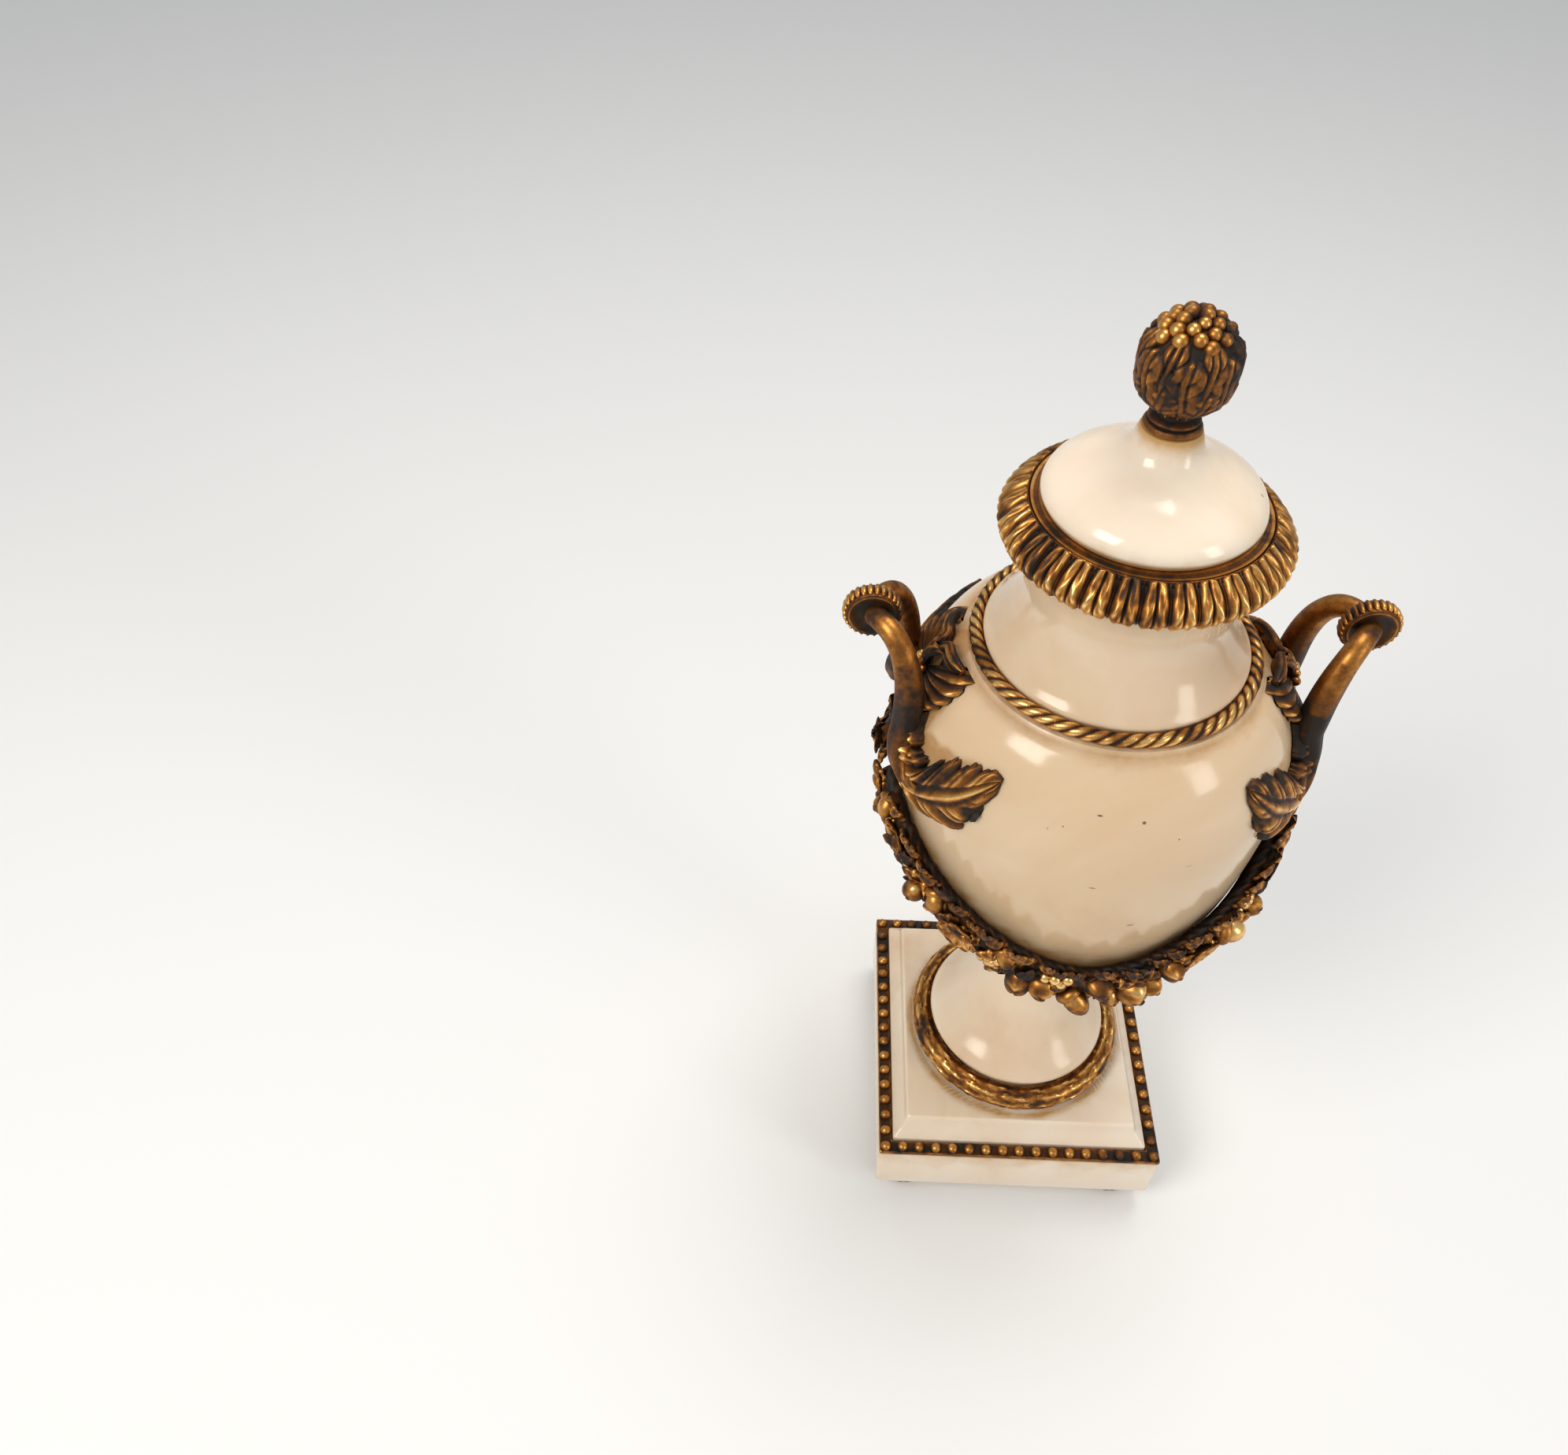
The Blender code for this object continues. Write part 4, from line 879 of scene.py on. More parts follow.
def leaf_rib(count):
    """Turn in degrees and level of the leaf's rib, which takes up the branch's line, bends
    round below it and rises to the tip; points are evenly spaced."""
    way = curve([(76.5, 14.0), (76.1, 7.6), (74.3, 1.5), (70.8, -3.5), (66.2, -5.8),
                 (61.4, -4.2), (55.0, 0.7), (48.0, 6.6), (38.4, 17.0)], 16)
    run = np.concatenate([[0], np.cumsum(np.hypot(*(np.diff(way, axis=0) / (0.95, 1)).T))])
    at = np.linspace(0, run[-1], count)
    level = branch(-1)[-10, 2] + np.interp(at, run, way[:, 1]) / 1000
    return np.interp(at, run, way[:, 0]), level


def handle_leaf(fore):
    """The acanthus leaf that the branch ends in, its lobes swept forward on both sides.

    The grid runs s along the rib and v from the lower edge -1 to the upper edge 1. A point
    is the rib's plus |v| times the width on its side, in a direction that swings with s.
    Each lobe carries three teeth; long flutes run out of the branch over the leaf's base."""
    s = np.linspace(0, 1, 120)[:, None]
    v = np.linspace(-1, 1, 45)[None, :]
    side, upper = np.abs(v), v > 0
    rib_turn, rib_level = leaf_rib(120)
    over_width = np.interp(s, [0, 0.10, 0.2, 0.32, 0.45, 0.56, 0.68, 0.85, 0.95, 1.0],
                           [2.6, 5.4, 8.6, 11.8, 14.8, 15.0, 12.4, 8.0, 3.6, 0.2]) / 1000
    under_width = np.interp(s, [0, 0.2, 0.36, 0.46, 0.58, 0.70, 0.85, 0.95, 1.0],
                            [2.6, 3.2, 4.6, 8.0, 12.2, 12.6, 7.6, 3.2, 0.2]) / 1000
    over_to = np.interp(s, [0, 0.15, 0.3, 0.45, 0.55, 0.7, 1], [165, 148, 124, 102, 92, 84, 78])
    under_to = np.interp(s, [0, 0.2, 0.34, 0.46, 0.6, 0.8, 1],
                         [0, -14, -58, -106, -130, -138, -142])
    towards = np.radians(np.where(upper, over_to, under_to))
    phase = (np.where(upper, 6.4, 6.8) * (s - np.where(upper, 0.12, 0.17) * side) + 0.30) % 1.0
    lobe = np.minimum((phase / 0.70) ** 0.5, part_of((1 - phase) / 0.30) ** 0.8)
    teeth = np.abs(np.sin(3 * math.pi * phase))
    free = part_of((s - 0.04) / 0.16)
    cut = np.where(upper, 0.34, 0.50) * free * side ** 1.6 * (1 - lobe)
    fringe = 1 - cut - 0.13 * free * side ** 4 * (1 - teeth)
    width = np.where(upper, over_width, under_width) * side * fringe
    turn = rib_turn[:, None] + np.degrees(width * np.cos(towards) / BELLY_RADIUS)
    level = rib_level[:, None] + width * np.sin(towards)
    thick = np.interp(s, [0, 0.12, 0.3, 0.5, 0.75, 1], [5.6, 5.4, 4.8, 3.8, 2.7, 1.3]) / 1000
    dome = part_of(1 - side ** 5) ** 0.5
    outer = part_of((side - 0.14) / 0.3)
    lobed = 0.56 * outer * (np.sin(math.pi * phase) ** 0.7 - 0.6)
    vein = -0.14 * outer * hump(phase - 0.5, 0.07)
    fine = 0.05 * outer * np.cos(TAU * 3.0 * phase)
    rib = 0.22 * hump(v, 0.09) - 0.24 * hump(side - 0.20, 0.07)
    flutes = 0.24 * np.cos(TAU * 2.4 * v) * part_of(1 - s / 0.50) * part_of(side / 0.3)
    face = 0.66 + 0.24 * (1 - side) + lobed * free + vein + fine
    face = face + rib * part_of(s / 0.3) + flutes
    lift = thick * dome * np.clip(face, 0.12, 1.2)
    top = on_body(turn, level, GAP + 0.0003 + lift)
    back = on_body(turn, level, GAP + 0.0001 + 0 * lift)[:, ::-1]
    both = np.concatenate([top, back], 1)
    both[..., 1] = fore * np.abs(both[..., 1])
    tone = part_of(-0.22 + 0.82 * dome * face)
    return skin(both, np.concatenate([tone, 0.03 + 0 * tone], 1))


def branch_ridges(along, angle):
    """Six shallow ridges that twist round the branch where it nears its leaf."""
    return part_of(along / 0.6 - 0.4) * (0.00026 * np.cos(6 * angle + 9 * along))


def handle_shells():
    """All the shells of the right-hand handle."""
    disc = curve([(0.0, -0.30), (0.45, -0.32), (0.66, -0.44), (0.74, -0.50), (0.80, -0.44),
                  (0.84, -0.36), (0.84, 0.36), (0.80, 0.44), (0.74, 0.50), (0.66, 0.44),
                  (0.45, 0.32), (0.0, 0.30)], 4)
    a = full_turn(96)
    x = DISC_REACH + DISC_RADIUS * disc[:, :1] * np.cos(a)
    z = disc_z + DISC_RADIUS * disc[:, :1] * np.sin(a)
    y = np.broadcast_to(0.98 * DISC_THICKNESS * disc[:, 1:2], x.shape)
    tone = np.interp(disc[:, :1], [0.0, 0.55, 0.68, 0.74, 0.79, 0.84],
                     [0.10, 0.14, 0.26, 0.52, 0.22, 0.30])
    made = [skin(np.stack([x, y, z], -1), tone)]
    for k in range(DISC_BEADS):
        a = TAU * k / DISC_BEADS
        r = DISC_RADIUS * 0.865
        made.append(ball((DISC_REACH + r * math.cos(a), 0.0, disc_z + r * math.sin(a)),
                         (0.00098, 0.00232), 0.62, (0, 1, 0), 8, 12, 0.12))
    for fore in (-1, 1):
        sweep = on_body(np.array([76.3, 75.1, 72.9, 69.4, 65.0, 60.4, 55.4]),
                        np.array([246.0, 240.2, 235.2, 231.9, 231.0, 232.7, 236.3]) / 1000,
                        np.array([4.3, 4.0, 3.6, 3.0, 2.4, 1.7, 1.0]) / 1000)
        sweep[:, 1] *= -fore
        path = np.vstack([branch(fore)[:50], curve([branch(fore)[50], *sweep], 5)])
        t = np.linspace(0, 1, len(path))
        radii = np.interp(t, [0, 0.3, 0.58, 0.66, 0.76, 0.86, 0.94, 1.0],
                          [3.1, 3.6, 4.5, 4.5, 3.9, 2.9, 1.9, 0.8]) / 1000
        radii[0] *= 0.55
        tone = (0.34 + 0.12 * np.sin(7 * t) - 0.16 * hump(t - 0.60, 0.07))[:, None]
        made.append(tube(path, radii, tone, 36, branch_ridges))
        made.append(handle_leaf(fore))
    return made


right_shells = handle_shells()


def mirror_shells(shells, axis):
    """Copies of shells reflected in the plane across an axis."""
    flip = np.ones(3)
    flip[axis] = -1
    return [(verts * flip, faces[:, ::-1], values) for verts, faces, values in shells]


handle_bronze = ormolu("handle_bronze", 0.0)
piece("handle_right", right_shells, handle_bronze, "ormolu", 50, 0.35)
piece("handle_left", mirror_shells(right_shells, 0), handle_bronze, "ormolu", 50, 0.35)

# Ribbon bows of thin bronze on the shoulder behind each handle: two pleated loops that
# open outwards like fans from a knot.
BOW_DROP = 0.0105
BOW_SLOPE = 0.85
knot_level = body_top - BOW_DROP


def on_shoulder(fore, rho, theta, off):
    """Points about the knot: rho away along the marble, theta up from the bow's run."""
    level = np.minimum(knot_level + rho * np.sin(theta) * BOW_SLOPE, body_top - 0.0003)
    turn = 90.0 - fore * np.degrees(rho * np.cos(theta) / marble_radius(level))
    return on_body(turn, level, off)


def bow_loop(fore):
    """A loop of ribbon: a plump fan of seven pleats from the knot, round at its end.

    It stands off by a height that swells with u and dips between the pleats."""
    u = np.linspace(0.0, 1.0, 30)[:, None]
    theta = np.radians(np.linspace(-46.0, 48.0, 106))[None, :]
    reach = np.interp(np.degrees(theta), [-46, -36, -20, 0, 16, 30, 42, 48],
                      [10.5, 13.4, 15.8, 18.2, 19.6, 20.2, 19.6, 17.6]) / 1000
    fold = 0.5 + 0.5 * np.cos(TAU * 7.0 * (theta - theta.min()) / np.ptp(theta))
    reach = reach * (1 - 0.045 * (1 - fold) ** 2)
    rho = reach * (0.10 + 0.90 * u)
    rise = np.interp(u, [0, 0.2, 0.5, 0.8, 0.92, 0.98, 1.0],
                     [0.0018, 0.0026, 0.0036, 0.0042, 0.0036, 0.0020, 0.0006])
    crease = np.interp(u, [0, 0.2, 0.5, 1.0], [0.2, 0.6, 0.9, 1.0])
    side = np.minimum(1, np.minimum(np.arange(106), 105 - np.arange(106)) / 5.0)[None, :] ** 0.5
    off = GAP + rise * (1 - 0.50 * crease * (1 - fold ** 0.6)) * side
    top = on_shoulder(fore, rho, theta, off)
    back = on_shoulder(fore, rho, theta, GAP + 0 * off)[:, ::-1]
    tone = 0.05 + 0.52 * fold ** 1.4 * crease
    tone = tone * np.interp(u, [0, 0.15, 0.4, 1], [0.5, 0.6, 1.0, 1.0])
    return skin(np.concatenate([top, back], 1), np.concatenate([tone, 0 * tone], 1))


def bow_lip(fore):
    """The upper fold of a loop, a broad arched band over the loop's mouth, whose dark is painted
    shadow.
    """
    way = curve([(0.0020, 70, 0.0034), (0.0060, 90, 0.0048), (0.0100, 82, 0.0056),
                 (0.0142, 70, 0.0058), (0.0178, 59, 0.0052), (0.0196, 50, 0.0036)], 9)
    middle = on_shoulder(fore, way[:, 0], np.radians(way[:, 1]), way[:, 2])
    out = unit(middle * (1, 1, 0) + (0, 0, 0.030))
    run = unit(np.gradient(middle, axis=0))
    side = np.cross(out, run)
    a = full_turn(44)[None, :]
    t = np.linspace(0, 1, len(way))[:, None]
    wide = 0.0025 * np.clip(1 - np.abs(2 * t - 1) ** 3.5, 0.02, 1) ** 0.5
    ridge = 1 + 0.26 * np.cos(7 * a + 1.2 * t)
    points = (middle[:, None] + side[:, None] * (wide * np.cos(a))[..., None]
              + out[:, None] * (0.0012 * np.sin(a) * ridge)[..., None])
    tone = 0.10 + 0.52 * part_of(np.sin(a)) * (0.65 + 0.35 * np.cos(7 * a + 1.2 * t))
    tone = tone * np.interp(t, [0, 0.3, 1], [0.6, 0.8, 1.0])
    ends = points[[0, -1]].mean(1, keepdims=True).repeat(44, 1)
    return closed_bar(points, tone, ends)


bow_shells = []
for fore in (-1, 1):
    bow_shells += [bow_loop(fore), bow_lip(fore)]
    # Under each lip a black ellipsoid is painted shadow, the dark of the loop's mouth.
    mouth_shadow = on_shoulder(fore, 0.0104, math.radians(57), 0.0012)
    bow_shells.append(ball(mouth_shadow, (0.0046, 0.0022), 0.0, tuple(mouth_shadow * (1, 1, 0)), low=0.0))
knot = on_body(90.0, knot_level, 0.0026)
for side_by, rise_by, size in ((-0.0030, 0.0010, 0.0019), (0.0, -0.0003, 0.0026),
                               (0.0028, 0.0004, 0.0019), (0.0010, 0.0030, 0.0018),
                               (-0.0018, -0.0030, 0.0018), (-0.0014, 0.0026, 0.0017),
                               (0.0020, -0.0026, 0.0017)):
    bow_shells.append(ball(knot + (0.0004, side_by, rise_by), (size * 0.8, size), 0.62,
                           (0.35, 500 * side_by, 0.9), 12, 18, 0.06))


def clear_of_marble(shells):
    """Moves any point that would sink into the body's marble out to just clear of it."""
    cleared = []
    for verts, faces, values in shells:
        r = np.linalg.norm(verts[:, :2], axis=1)
        least = np.where(verts[:, 2] < body_top, marble_radius(verts[:, 2]) + GAP, 0.0)
        grow = np.maximum(1.0, least / np.maximum(r, 1e-6))
        moved = verts * np.stack([grow, grow, np.ones_like(grow)], 1)
        cleared.append((moved, faces, values))
    return cleared


bow_shells = clear_of_marble(bow_shells)
bow_bronze = ormolu("bow_bronze", 0.0)
piece("bow_right", bow_shells, bow_bronze, "ormolu", 50, 0.35)
piece("bow_left", mirror_shells(bow_shells, 0), bow_bronze, "ormolu", 50, 0.35)

# Two garlands cast in bronze, front and back, that hang from handle to handle: a rope of
# leaves with fruit, flowers, nuts and berries standing out of it, black in its hollows.
GARLAND_THICKNESS = 0.0088
HEAD_SCALE = 1.12
HEAD_TONE = 0.90


def spot_on(turn, rise, off):
    """A place on the garland and its axes: outward, along and across, off in metres."""
    level = garland_level(turn) + rise * GARLAND_DEPTH / 2
    place_at = on_body(turn, level, off)
    ahead = on_body(turn + 1.0, garland_level(turn + 1.0) + rise * GARLAND_DEPTH / 2, off)
    along = unit(ahead - place_at)
    lean = (marble_radius(level + 0.001) - marble_radius(level - 0.001)) / 0.002
    a = math.radians(turn)
    out = unit(np.array([math.sin(a), -math.cos(a), -lean]))
    along = unit(along - out * np.dot(out, along))
    return place_at, out, along, np.cross(out, along)


def shell_leaf(spine, run, up, width, value, thickness, serration, teeth, cup, ribs, columns):
    """A leaf with a closed edge: a spine of points widened to both sides and cupped.

    The half width swells and narrows to a point, cut by rounded teeth; each side is
    lifted by cup times its distance squared and ribbed towards the teeth."""
    u = np.linspace(0, 1, len(spine))[:, None]
    v = np.linspace(-1, 1, columns)[None, :]
    edge = 1 - serration * (1 - np.abs(np.sin(math.pi * teeth * (u - 0.10 * np.abs(v)))))
    outline = np.sin(math.pi * np.clip(u, 0.012, 0.985) ** 0.80) ** 0.70 * edge
    rib = ribs * np.cos(TAU * teeth * (u - 0.28 * np.abs(v))) * np.abs(v) * (1 - np.abs(v))
    mid = 0.10 * hump(v, 0.14)
    rise_up = width * outline * (cup * v ** 2 + 2.2 * rib + mid)
    top = (spine[:, None] + np.cross(up, run) * (width * outline * v)[..., None]
           + up * rise_up[..., None])
    back = top[:, ::-1] - up * (thickness * (0.4 + outline[:, ::-1])[..., None])
    tone = value * (0.55 + 0.45 * np.clip(0.6 + 3.0 * rib / max(ribs, 1e-3) * 0.3
                                          + 2.0 * mid, 0, 1.2)) - 0.25 * (1 - outline) * value
    return skin(np.concatenate([top, back], 1), np.concatenate([tone, 0.15 + 0 * tone], 1))


def core_band():
    """The leafy ground of the garland: a flat tube with a coarse pattern of leaf tips."""
    turns_at = np.linspace(-82, 82, 420)
    a = full_turn(40)[None, :]
    narrow = 1.0 - 0.26 * (np.abs(turns_at) / 82.0) ** 3
    half_depth = (GARLAND_DEPTH / 2 * 0.96 * narrow)[:, None]
    at = turns_at[:, None]
    bumps = (np.sin(at * 0.83 + 2 * np.sin(a)) * np.sin(3 * a + at * 0.31)
             + 0.6 * np.sin(at * 1.7 + 5 * a))
    r = 1 + 0.07 * bumps
    level = garland_level(turns_at)[:, None] + half_depth * r * np.sin(a)
    off = 0.36 * GARLAND_THICKNESS + 0.34 * GARLAND_THICKNESS * r * np.cos(a)
    points = on_body(np.broadcast_to(turns_at[:, None], level.shape), level, off)
    ends = points[[0, -1]].mean(1, keepdims=True).repeat(40, 1)
    return closed_bar(points, np.clip(0.16 + 0.14 * bumps, 0.02, 0.4), ends)


def headed(axes, heading, lean):
    """The run and the upward side of a leaf, at an angle in radians from the garland's run."""
    out, along, across = axes
    run = unit(along * math.cos(heading) + across * math.sin(heading) + out * lean)
    return run, unit(out - run * np.dot(out, run))


def garland_leaf(turn, rise, heading, length, half_width, value, off=0.0030, lean=0.0):
    """A leaf on the garland; heading is the angle of its tip from the garland's run."""
    at, *axes = spot_on(turn, rise, off)
    run, up = headed(axes, math.radians(heading), lean)
    u = np.linspace(0, 1, 18)[:, None]
    arch = 0.0016 * np.sin(math.pi * u * 0.8)
    spine = at + run * (length * u) + up * arch
    return shell_leaf(spine, run, up, half_width, value, 0.0008, 0.26, 3, -0.36, 0.26, 11)


def flower(turn, rise, off, radius, petals, value, cup=0.45):
    """An open flower: a ring of broad cupped petals round a dark throat with a small knob."""
    at, *axes = spot_on(turn, rise, off)
    out = axes[0]
    made = []
    for k in range(petals):
        run, up = headed(axes, TAU * k / petals + 0.3, cup)
        u = np.linspace(0, 1, 14)[:, None]
        spine = at + run * (radius * (0.05 + 0.95 * u)) - up * (0.0009 * u ** 2)
        made.append(shell_leaf(spine, run, up, radius * 0.50, value, 0.0007, 0.0, 3, 0.30,
                               0.12, 9))
    made.append(ball(at + out * 0.0006, (radius * 0.22, radius * 0.24), 0.5 * value, tuple(out)))
    return made


def fruit(turn, rise, off, size, length, value):
    """A lumpy fruit that points outwards, held by four sepals, with a dark eye at its tip.

    Its radius is the size times 1 plus a swelling of three shallow lobes."""
    at, out, along, over_axis = spot_on(turn, rise, off)
    lay = unit(out + along * 0.3 - over_axis * 0.2)
    verts, faces, values = ball(at, (size, size * length), value, tuple(lay), 15, 24, 0.0)
    off_centre = verts - at
    round_it = np.arctan2(off_centre @ over_axis, off_centre @ along)
    lumps = (1 + 0.07 * np.cos(3 * round_it + 40 * turn)
             + 0.04 * np.sin(1800 * off_centre[:, 2] + turn))
    eye = at + lay * size * length * 0.97
    made = [(at + off_centre * lumps[:, None], faces, values * (0.72 + 2.2 * (lumps - 1))),
            ball(eye, (size * 0.26, size * 0.14), 0.0, tuple(lay), 6, 8, 0.0)]
    for k in range(4):
        h = TAU * k / 4 + 0.5
        run = unit(along * math.cos(h) + over_axis * math.sin(h) + out * 0.9)
        up = unit(along * math.cos(h) + over_axis * math.sin(h) - out * 0.5)
        u = np.linspace(0, 1, 10)[:, None]
        spine = at - lay * size * 0.5 + up * size * 0.62 + run * (1.25 * size * u) + up * (
            0.5 * size * u * (1 - u))
        made.append(shell_leaf(spine, run, up, 0.52 * size, 0.5 * value, 0.0006, 0.0, 3, -0.3,
                               0.1, 7))
    return made


def nut(turn, rise, off, size, length, value):
    """An acorn lying along the garland, in a round cup."""
    at, out, along, over_axis = spot_on(turn, rise, off)
    lay = unit(along * 0.6 - over_axis * 0.3 + out * 0.5)
    cup = at - lay * size * 0.55 * length
    return [ball(at, (size * 0.92, size * length), value, tuple(lay), 13, 20, 0.12),
            ball(cup, (size * 1.10, size * 0.66), 0.42, tuple(lay), 9, 18, 0.06)]


def berries_at(turn, rise, off, size, count, value):
    """A small bunch of round berries."""
    at, out, along, over_axis = spot_on(turn, rise, off)
    made = []
    for k in range(count):
        a = k * golden
        r = size * 0.95 * math.sqrt(k + 0.3)
        spot = at + along * (r * math.cos(a)) + over_axis * (r * math.sin(a)) - out * (
            0.12 * r ** 2 / size)
        made.append(ball(spot, (size, size), value, rows=8, columns=12, low=0.10))
    return made


# Each head on the garland: kind, turn, rise, off in thicknesses, size, petals or number or
# length, and tone. The back garland has every second one.
garland_heads = [
    ("flower", -83, -0.1, 0.62, 0.0056, 6, 0.62), ("fruit", -77, -0.6, 0.75, 0.0028, 1.1, 0.66),
    ("flower", -66, 0.0, 0.66, 0.0062, 5, 0.72), ("nut", -73, 0.4, 0.72, 0.0030, 1.3, 0.70),
    ("fruit", -54, -0.5, 0.97, 0.0034, 1.0, 0.88), ("berries", -60, -0.7, 0.72, 0.0014, 7, 0.8),
    ("nut", -47, 0.3, 0.80, 0.0030, 1.25, 0.66), ("flower", -38.5, -0.3, 0.72, 0.0072, 7, 0.78),
    ("nut", -24, 0.3, 0.70, 0.0028, 1.3, 0.60), ("berries", -28, -0.55, 0.86, 0.0015, 9, 0.8),
    ("fruit", -19, -0.8, 0.85, 0.0038, 1.2, 0.84), ("fruit", -12, -0.5, 0.86, 0.0042, 1.0, 0.88),
    ("berries", -8, 0.4, 0.84, 0.0018, 5, 0.9), ("nut", -1, -0.95, 1.0, 0.0038, 1.4, 0.74),
    ("fruit", 5, 0.1, 0.86, 0.0039, 1.15, 0.85), ("fruit", 9, -0.8, 0.88, 0.0031, 1.1, 0.80),
    ("nut", 29, -0.4, 0.72, 0.0030, 1.2, 0.60), ("fruit", 15, -0.6, 0.93, 0.0048, 1.1, 0.96),
    ("fruit", 25, 0.2, 0.84, 0.0033, 1.2, 0.90), ("fruit", 21, -0.8, 0.86, 0.0035, 1.1, 0.82),
    ("flower", 35, -0.2, 0.72, 0.0068, 7, 0.76), ("nut", 44, 0.0, 0.88, 0.0041, 1.1, 0.86),
    ("fruit", 54, -0.5, 0.80, 0.0034, 1.15, 0.78), ("berries", 51, 0.3, 0.72, 0.0014, 7, 0.8),
    ("flower", 64, -0.1, 0.66, 0.0064, 6, 0.76), ("berries", 73, 0.2, 0.70, 0.0014, 8, 0.8),
    ("fruit", 76, -0.6, 0.72, 0.0028, 1.2, 0.70), ("flower", 83, -0.1, 0.62, 0.0056, 6, 0.62)]


def room_for(solid):
    """The corners of a garland's solid; the back garland is made in front and mirrored."""
    low, high = (np.array(corner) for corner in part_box(solid))
    if solid == "garland_back":
        low, high = low * (1, -1, 1), high * (1, -1, 1)
        low[1], high[1] = high[1], low[1]
    return low, high


def set_in(shells, solid):
    """Moves the shells of one head back as far as they stand out of their solid's box."""
    low, high = room_for(solid)
    every = np.concatenate([shell[0] for shell in shells])
    move = np.clip(low - every.min(0), 0, None) - np.clip(every.max(0) - high, 0, None)
    return [(verts + move, faces, values) for verts, faces, values in shells]


def fits(shell, solid):
    """Whether a shell lies inside its solid's box."""
    low, high = room_for(solid)
    return bool((shell[0] > low).all() and (shell[0] < high).all())


def garland_shells(seed, rich, solid):
    """All the shells of a garland; the plainer back one has fewer leaves and flowers.

    At the end every tone is darkened towards the marble as painted shade."""
    dice = np.random.default_rng(seed)
    made = []
    T = GARLAND_THICKNESS
    for turn_at in np.arange(-81, 82, 4.6 if rich else 7.5):
        for row in (-1, 0, 1):
            spread = float(dice.uniform(-26, 26))
            away = 1 if turn_at > 0 else -1
            heading = (0 if turn_at > 0 else 180) + row * away * 58 + spread
            at = float(turn_at + dice.uniform(-1.4, 1.4))
            rise = row * 0.50 + float(dice.uniform(-0.1, 0.1))
            length, half_width, tone = (float(dice.uniform(*ends)) for ends in (
                (0.0072, 0.0100), (0.0034, 0.0046), (0.22, 0.70)))
            made.append(garland_leaf(at, rise, heading, length, half_width, tone,
                                     T * (0.52 + 0.16 * (row == 0)),
                                     float(dice.uniform(0.02, 0.34))))
    for turn_at, rise, heading, length, half, off in [
            (-24, -0.6, -100, 0.0105, 0.0032, 0.6), (-3, -0.9, -20, 0.0120, 0.0030, 0.9),
            (6, -0.9, 200, 0.0125, 0.0032, 0.9), (30, -0.7, -75, 0.0090, 0.0030, 0.6),
            (-46, -0.6, -120, 0.0090, 0.0030, 0.6), (48, -0.5, -60, 0.0095, 0.0030, 0.6),
            (-72, -0.6, -150, 0.0085, 0.0028, 0.6), (70, -0.6, -40, 0.0085, 0.0028, 0.6)]:
        made.append(garland_leaf(turn_at, rise, heading, length, half, 0.75, T * off, 0.05))
    made = [core_band()] + [shell for shell in made if fits(shell, solid)]
    makers = {"flower": flower, "fruit": fruit, "nut": nut, "berries": berries_at}
    for k, (kind, turn_at, rise, off, size, count, tone) in enumerate(garland_heads):
        if rich or k % 2 == 0:
            head = makers[kind](turn_at, rise, off * T, HEAD_SCALE * size, count, HEAD_TONE * tone)
            made += set_in(head, solid)
    shaded_shells = []
    for verts, faces, values in made:
        # Tones fall off towards the marble: painted shade between the garland and the body.
        away = np.hypot(verts[:, 0], verts[:, 1]) - marble_radius(verts[:, 2])
        lit = part_of((away - 0.0014) / (0.62 * T))
        shaded_shells.append((verts, faces, values * (0.08 + 0.92 * lit ** 1.8)))
    return shaded_shells


front = clear_of_marble(garland_shells(11, True, "garland_front"))
back = mirror_shells(clear_of_marble(garland_shells(23, False, "garland_back")), 1)
piece("garland_front", front, ormolu("garland_front_bronze", 0.05), "ormolu", 60, 0.30)
piece("garland_back", back, ormolu("garland_back_bronze", 0.06), "ormolu", 60, 0.35)

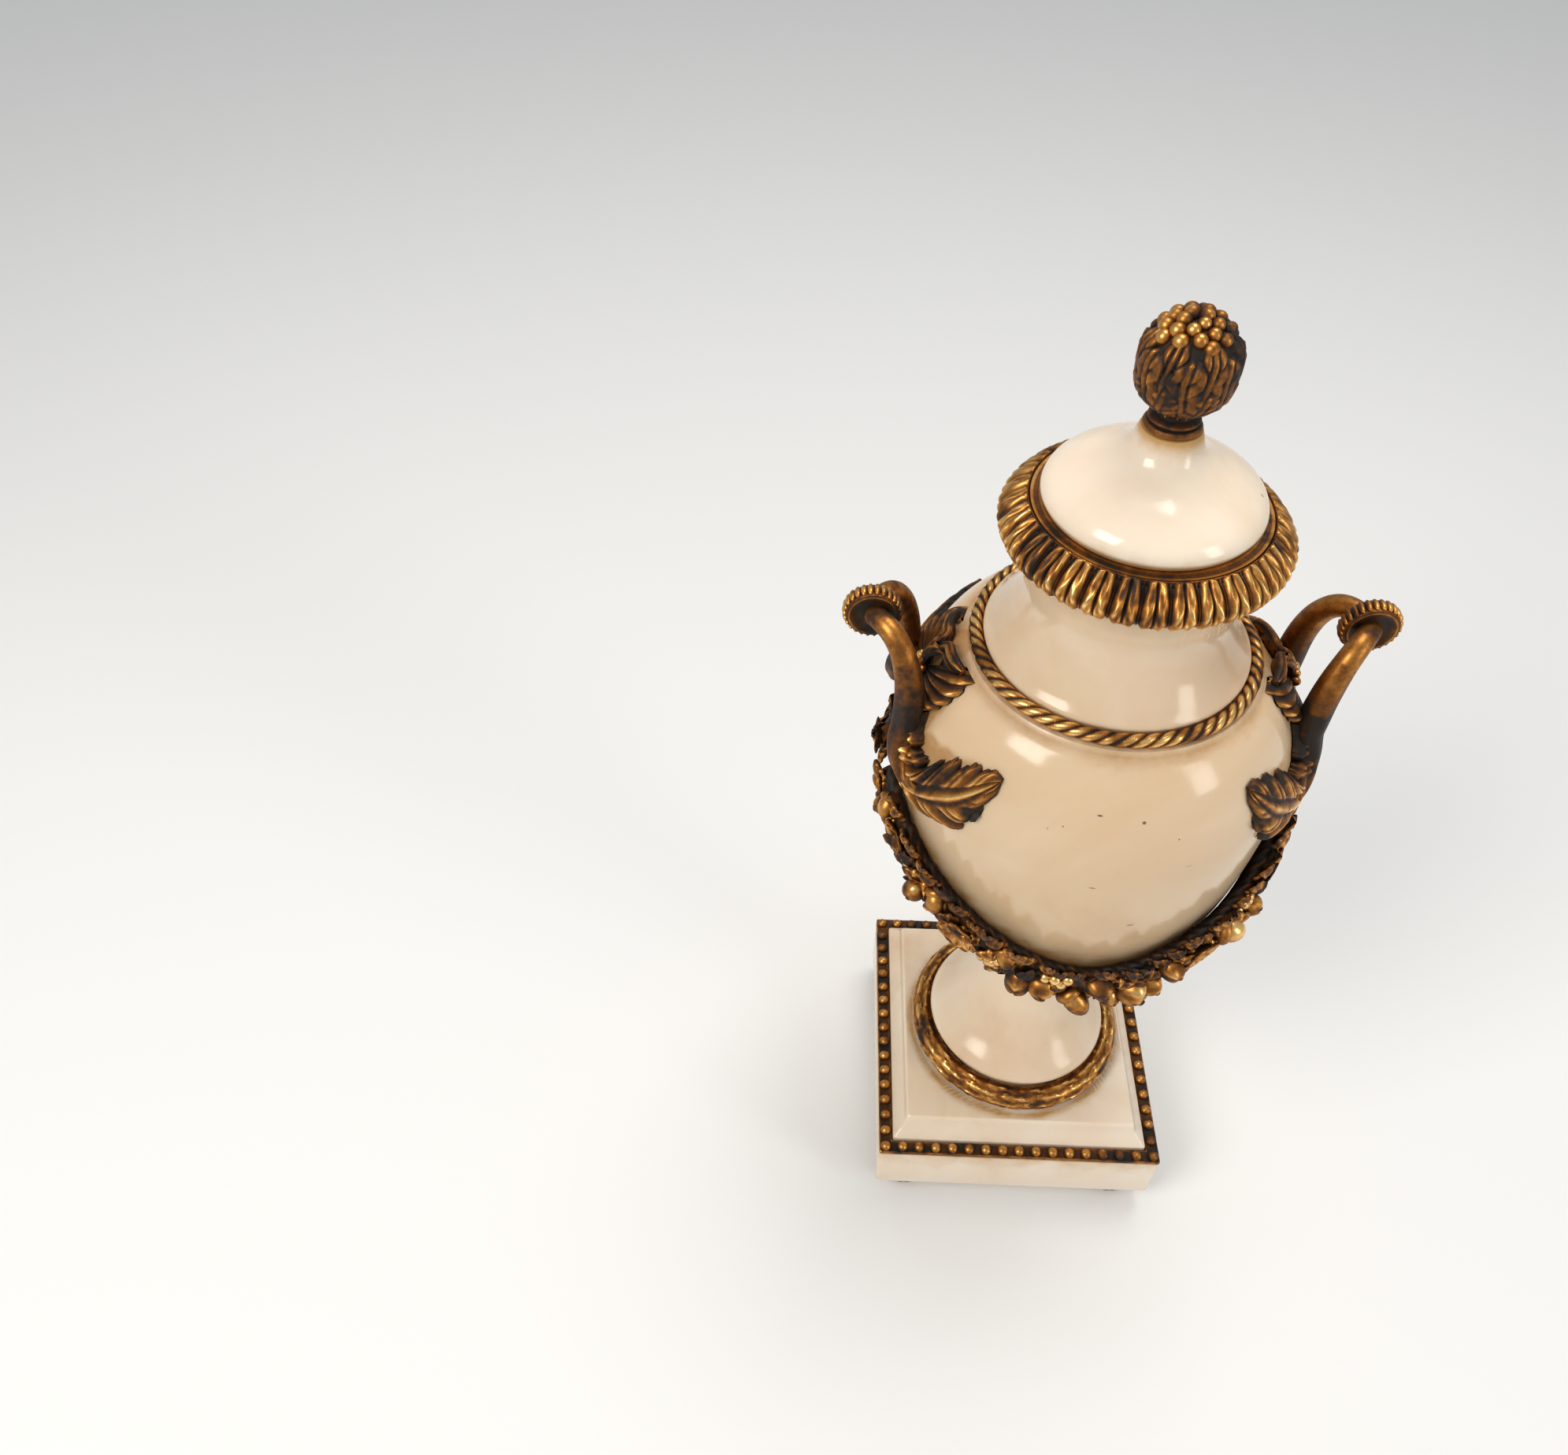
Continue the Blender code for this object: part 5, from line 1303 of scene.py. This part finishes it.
# Studio: a pale sheet under the urn, three soft lights and the photo's camera.
floor_mesh = bpy.data.meshes.new("floor_sheet")
floor_mesh.from_pydata([(-6, -4, 0), (6, -4, 0), (6, 6, 0), (-6, 6, 0)], [], [(0, 1, 2, 3)])
floor = bpy.data.objects.new("floor_sheet", floor_mesh)
bpy.context.collection.objects.link(floor)
paper, tree, shader = new_material("floor_paper")
shader.inputs["Base Color"].default_value = (0.84, 0.84, 0.83, 1.0)
shader.inputs["Roughness"].default_value = 0.85
floor_mesh.materials.append(paper)

world = bpy.data.worlds.new("studio")
bpy.context.scene.world = world
world.use_nodes = True
world.node_tree.nodes["Background"].inputs["Color"].default_value = (0.86, 0.88, 0.90, 1.0)
world.node_tree.nodes["Background"].inputs["Strength"].default_value = 0.56


def soft_light(name, place_at, aim, size, power, colour=(1, 1, 1)):
    """A rectangular area light pointed at a place."""
    lamp = bpy.data.lights.new(name, "AREA")
    lamp.shape = "RECTANGLE"
    lamp.size, lamp.size_y = size
    lamp.energy = power
    lamp.color = colour
    made = bpy.data.objects.new(name, lamp)
    bpy.context.collection.objects.link(made)
    made.location = place_at
    made.rotation_euler = (Vector(aim) - Vector(place_at)).to_track_quat("-Z", "Y").to_euler()


soft_light("key_left", (-0.8, -0.6, 1.1), (0, 0, 0.2), (0.5, 0.6), 9.0, (1.0, 0.95, 0.88))
soft_light("fill_right", (1.0, -0.7, 0.7), (0, 0, 0.2), (0.3, 0.8), 3.8, (1.0, 0.97, 0.93))
soft_light("top", (0.15, 0.25, 1.3), (0, 0, 0.2), (0.5, 0.5), 5.6, (1.0, 0.97, 0.93))

yaw, pitch, roll = -0.0321, 0.8217, 0.0097
lens = bpy.data.cameras.new("photo_camera")
lens.sensor_width = 36.0
lens.lens = 1610.13 / 1991 * 36
lens.clip_start = 0.01
camera = bpy.data.objects.new("photo_camera", lens)
bpy.context.collection.objects.link(camera)
heading = Matrix.Rotation(-yaw, 4, "Z")
stand = heading @ Vector((-0.9145 * 0.106, -2.5831 * 0.106, 4.9369 * 0.106))
aimed = heading @ Matrix.Rotation(math.pi / 2 - pitch, 4, "X") @ Matrix.Rotation(roll, 4, "Z")
camera.matrix_world = Matrix.Translation(stand) @ aimed
bpy.context.scene.camera = camera
bpy.context.scene.view_settings.view_transform = "Standard"
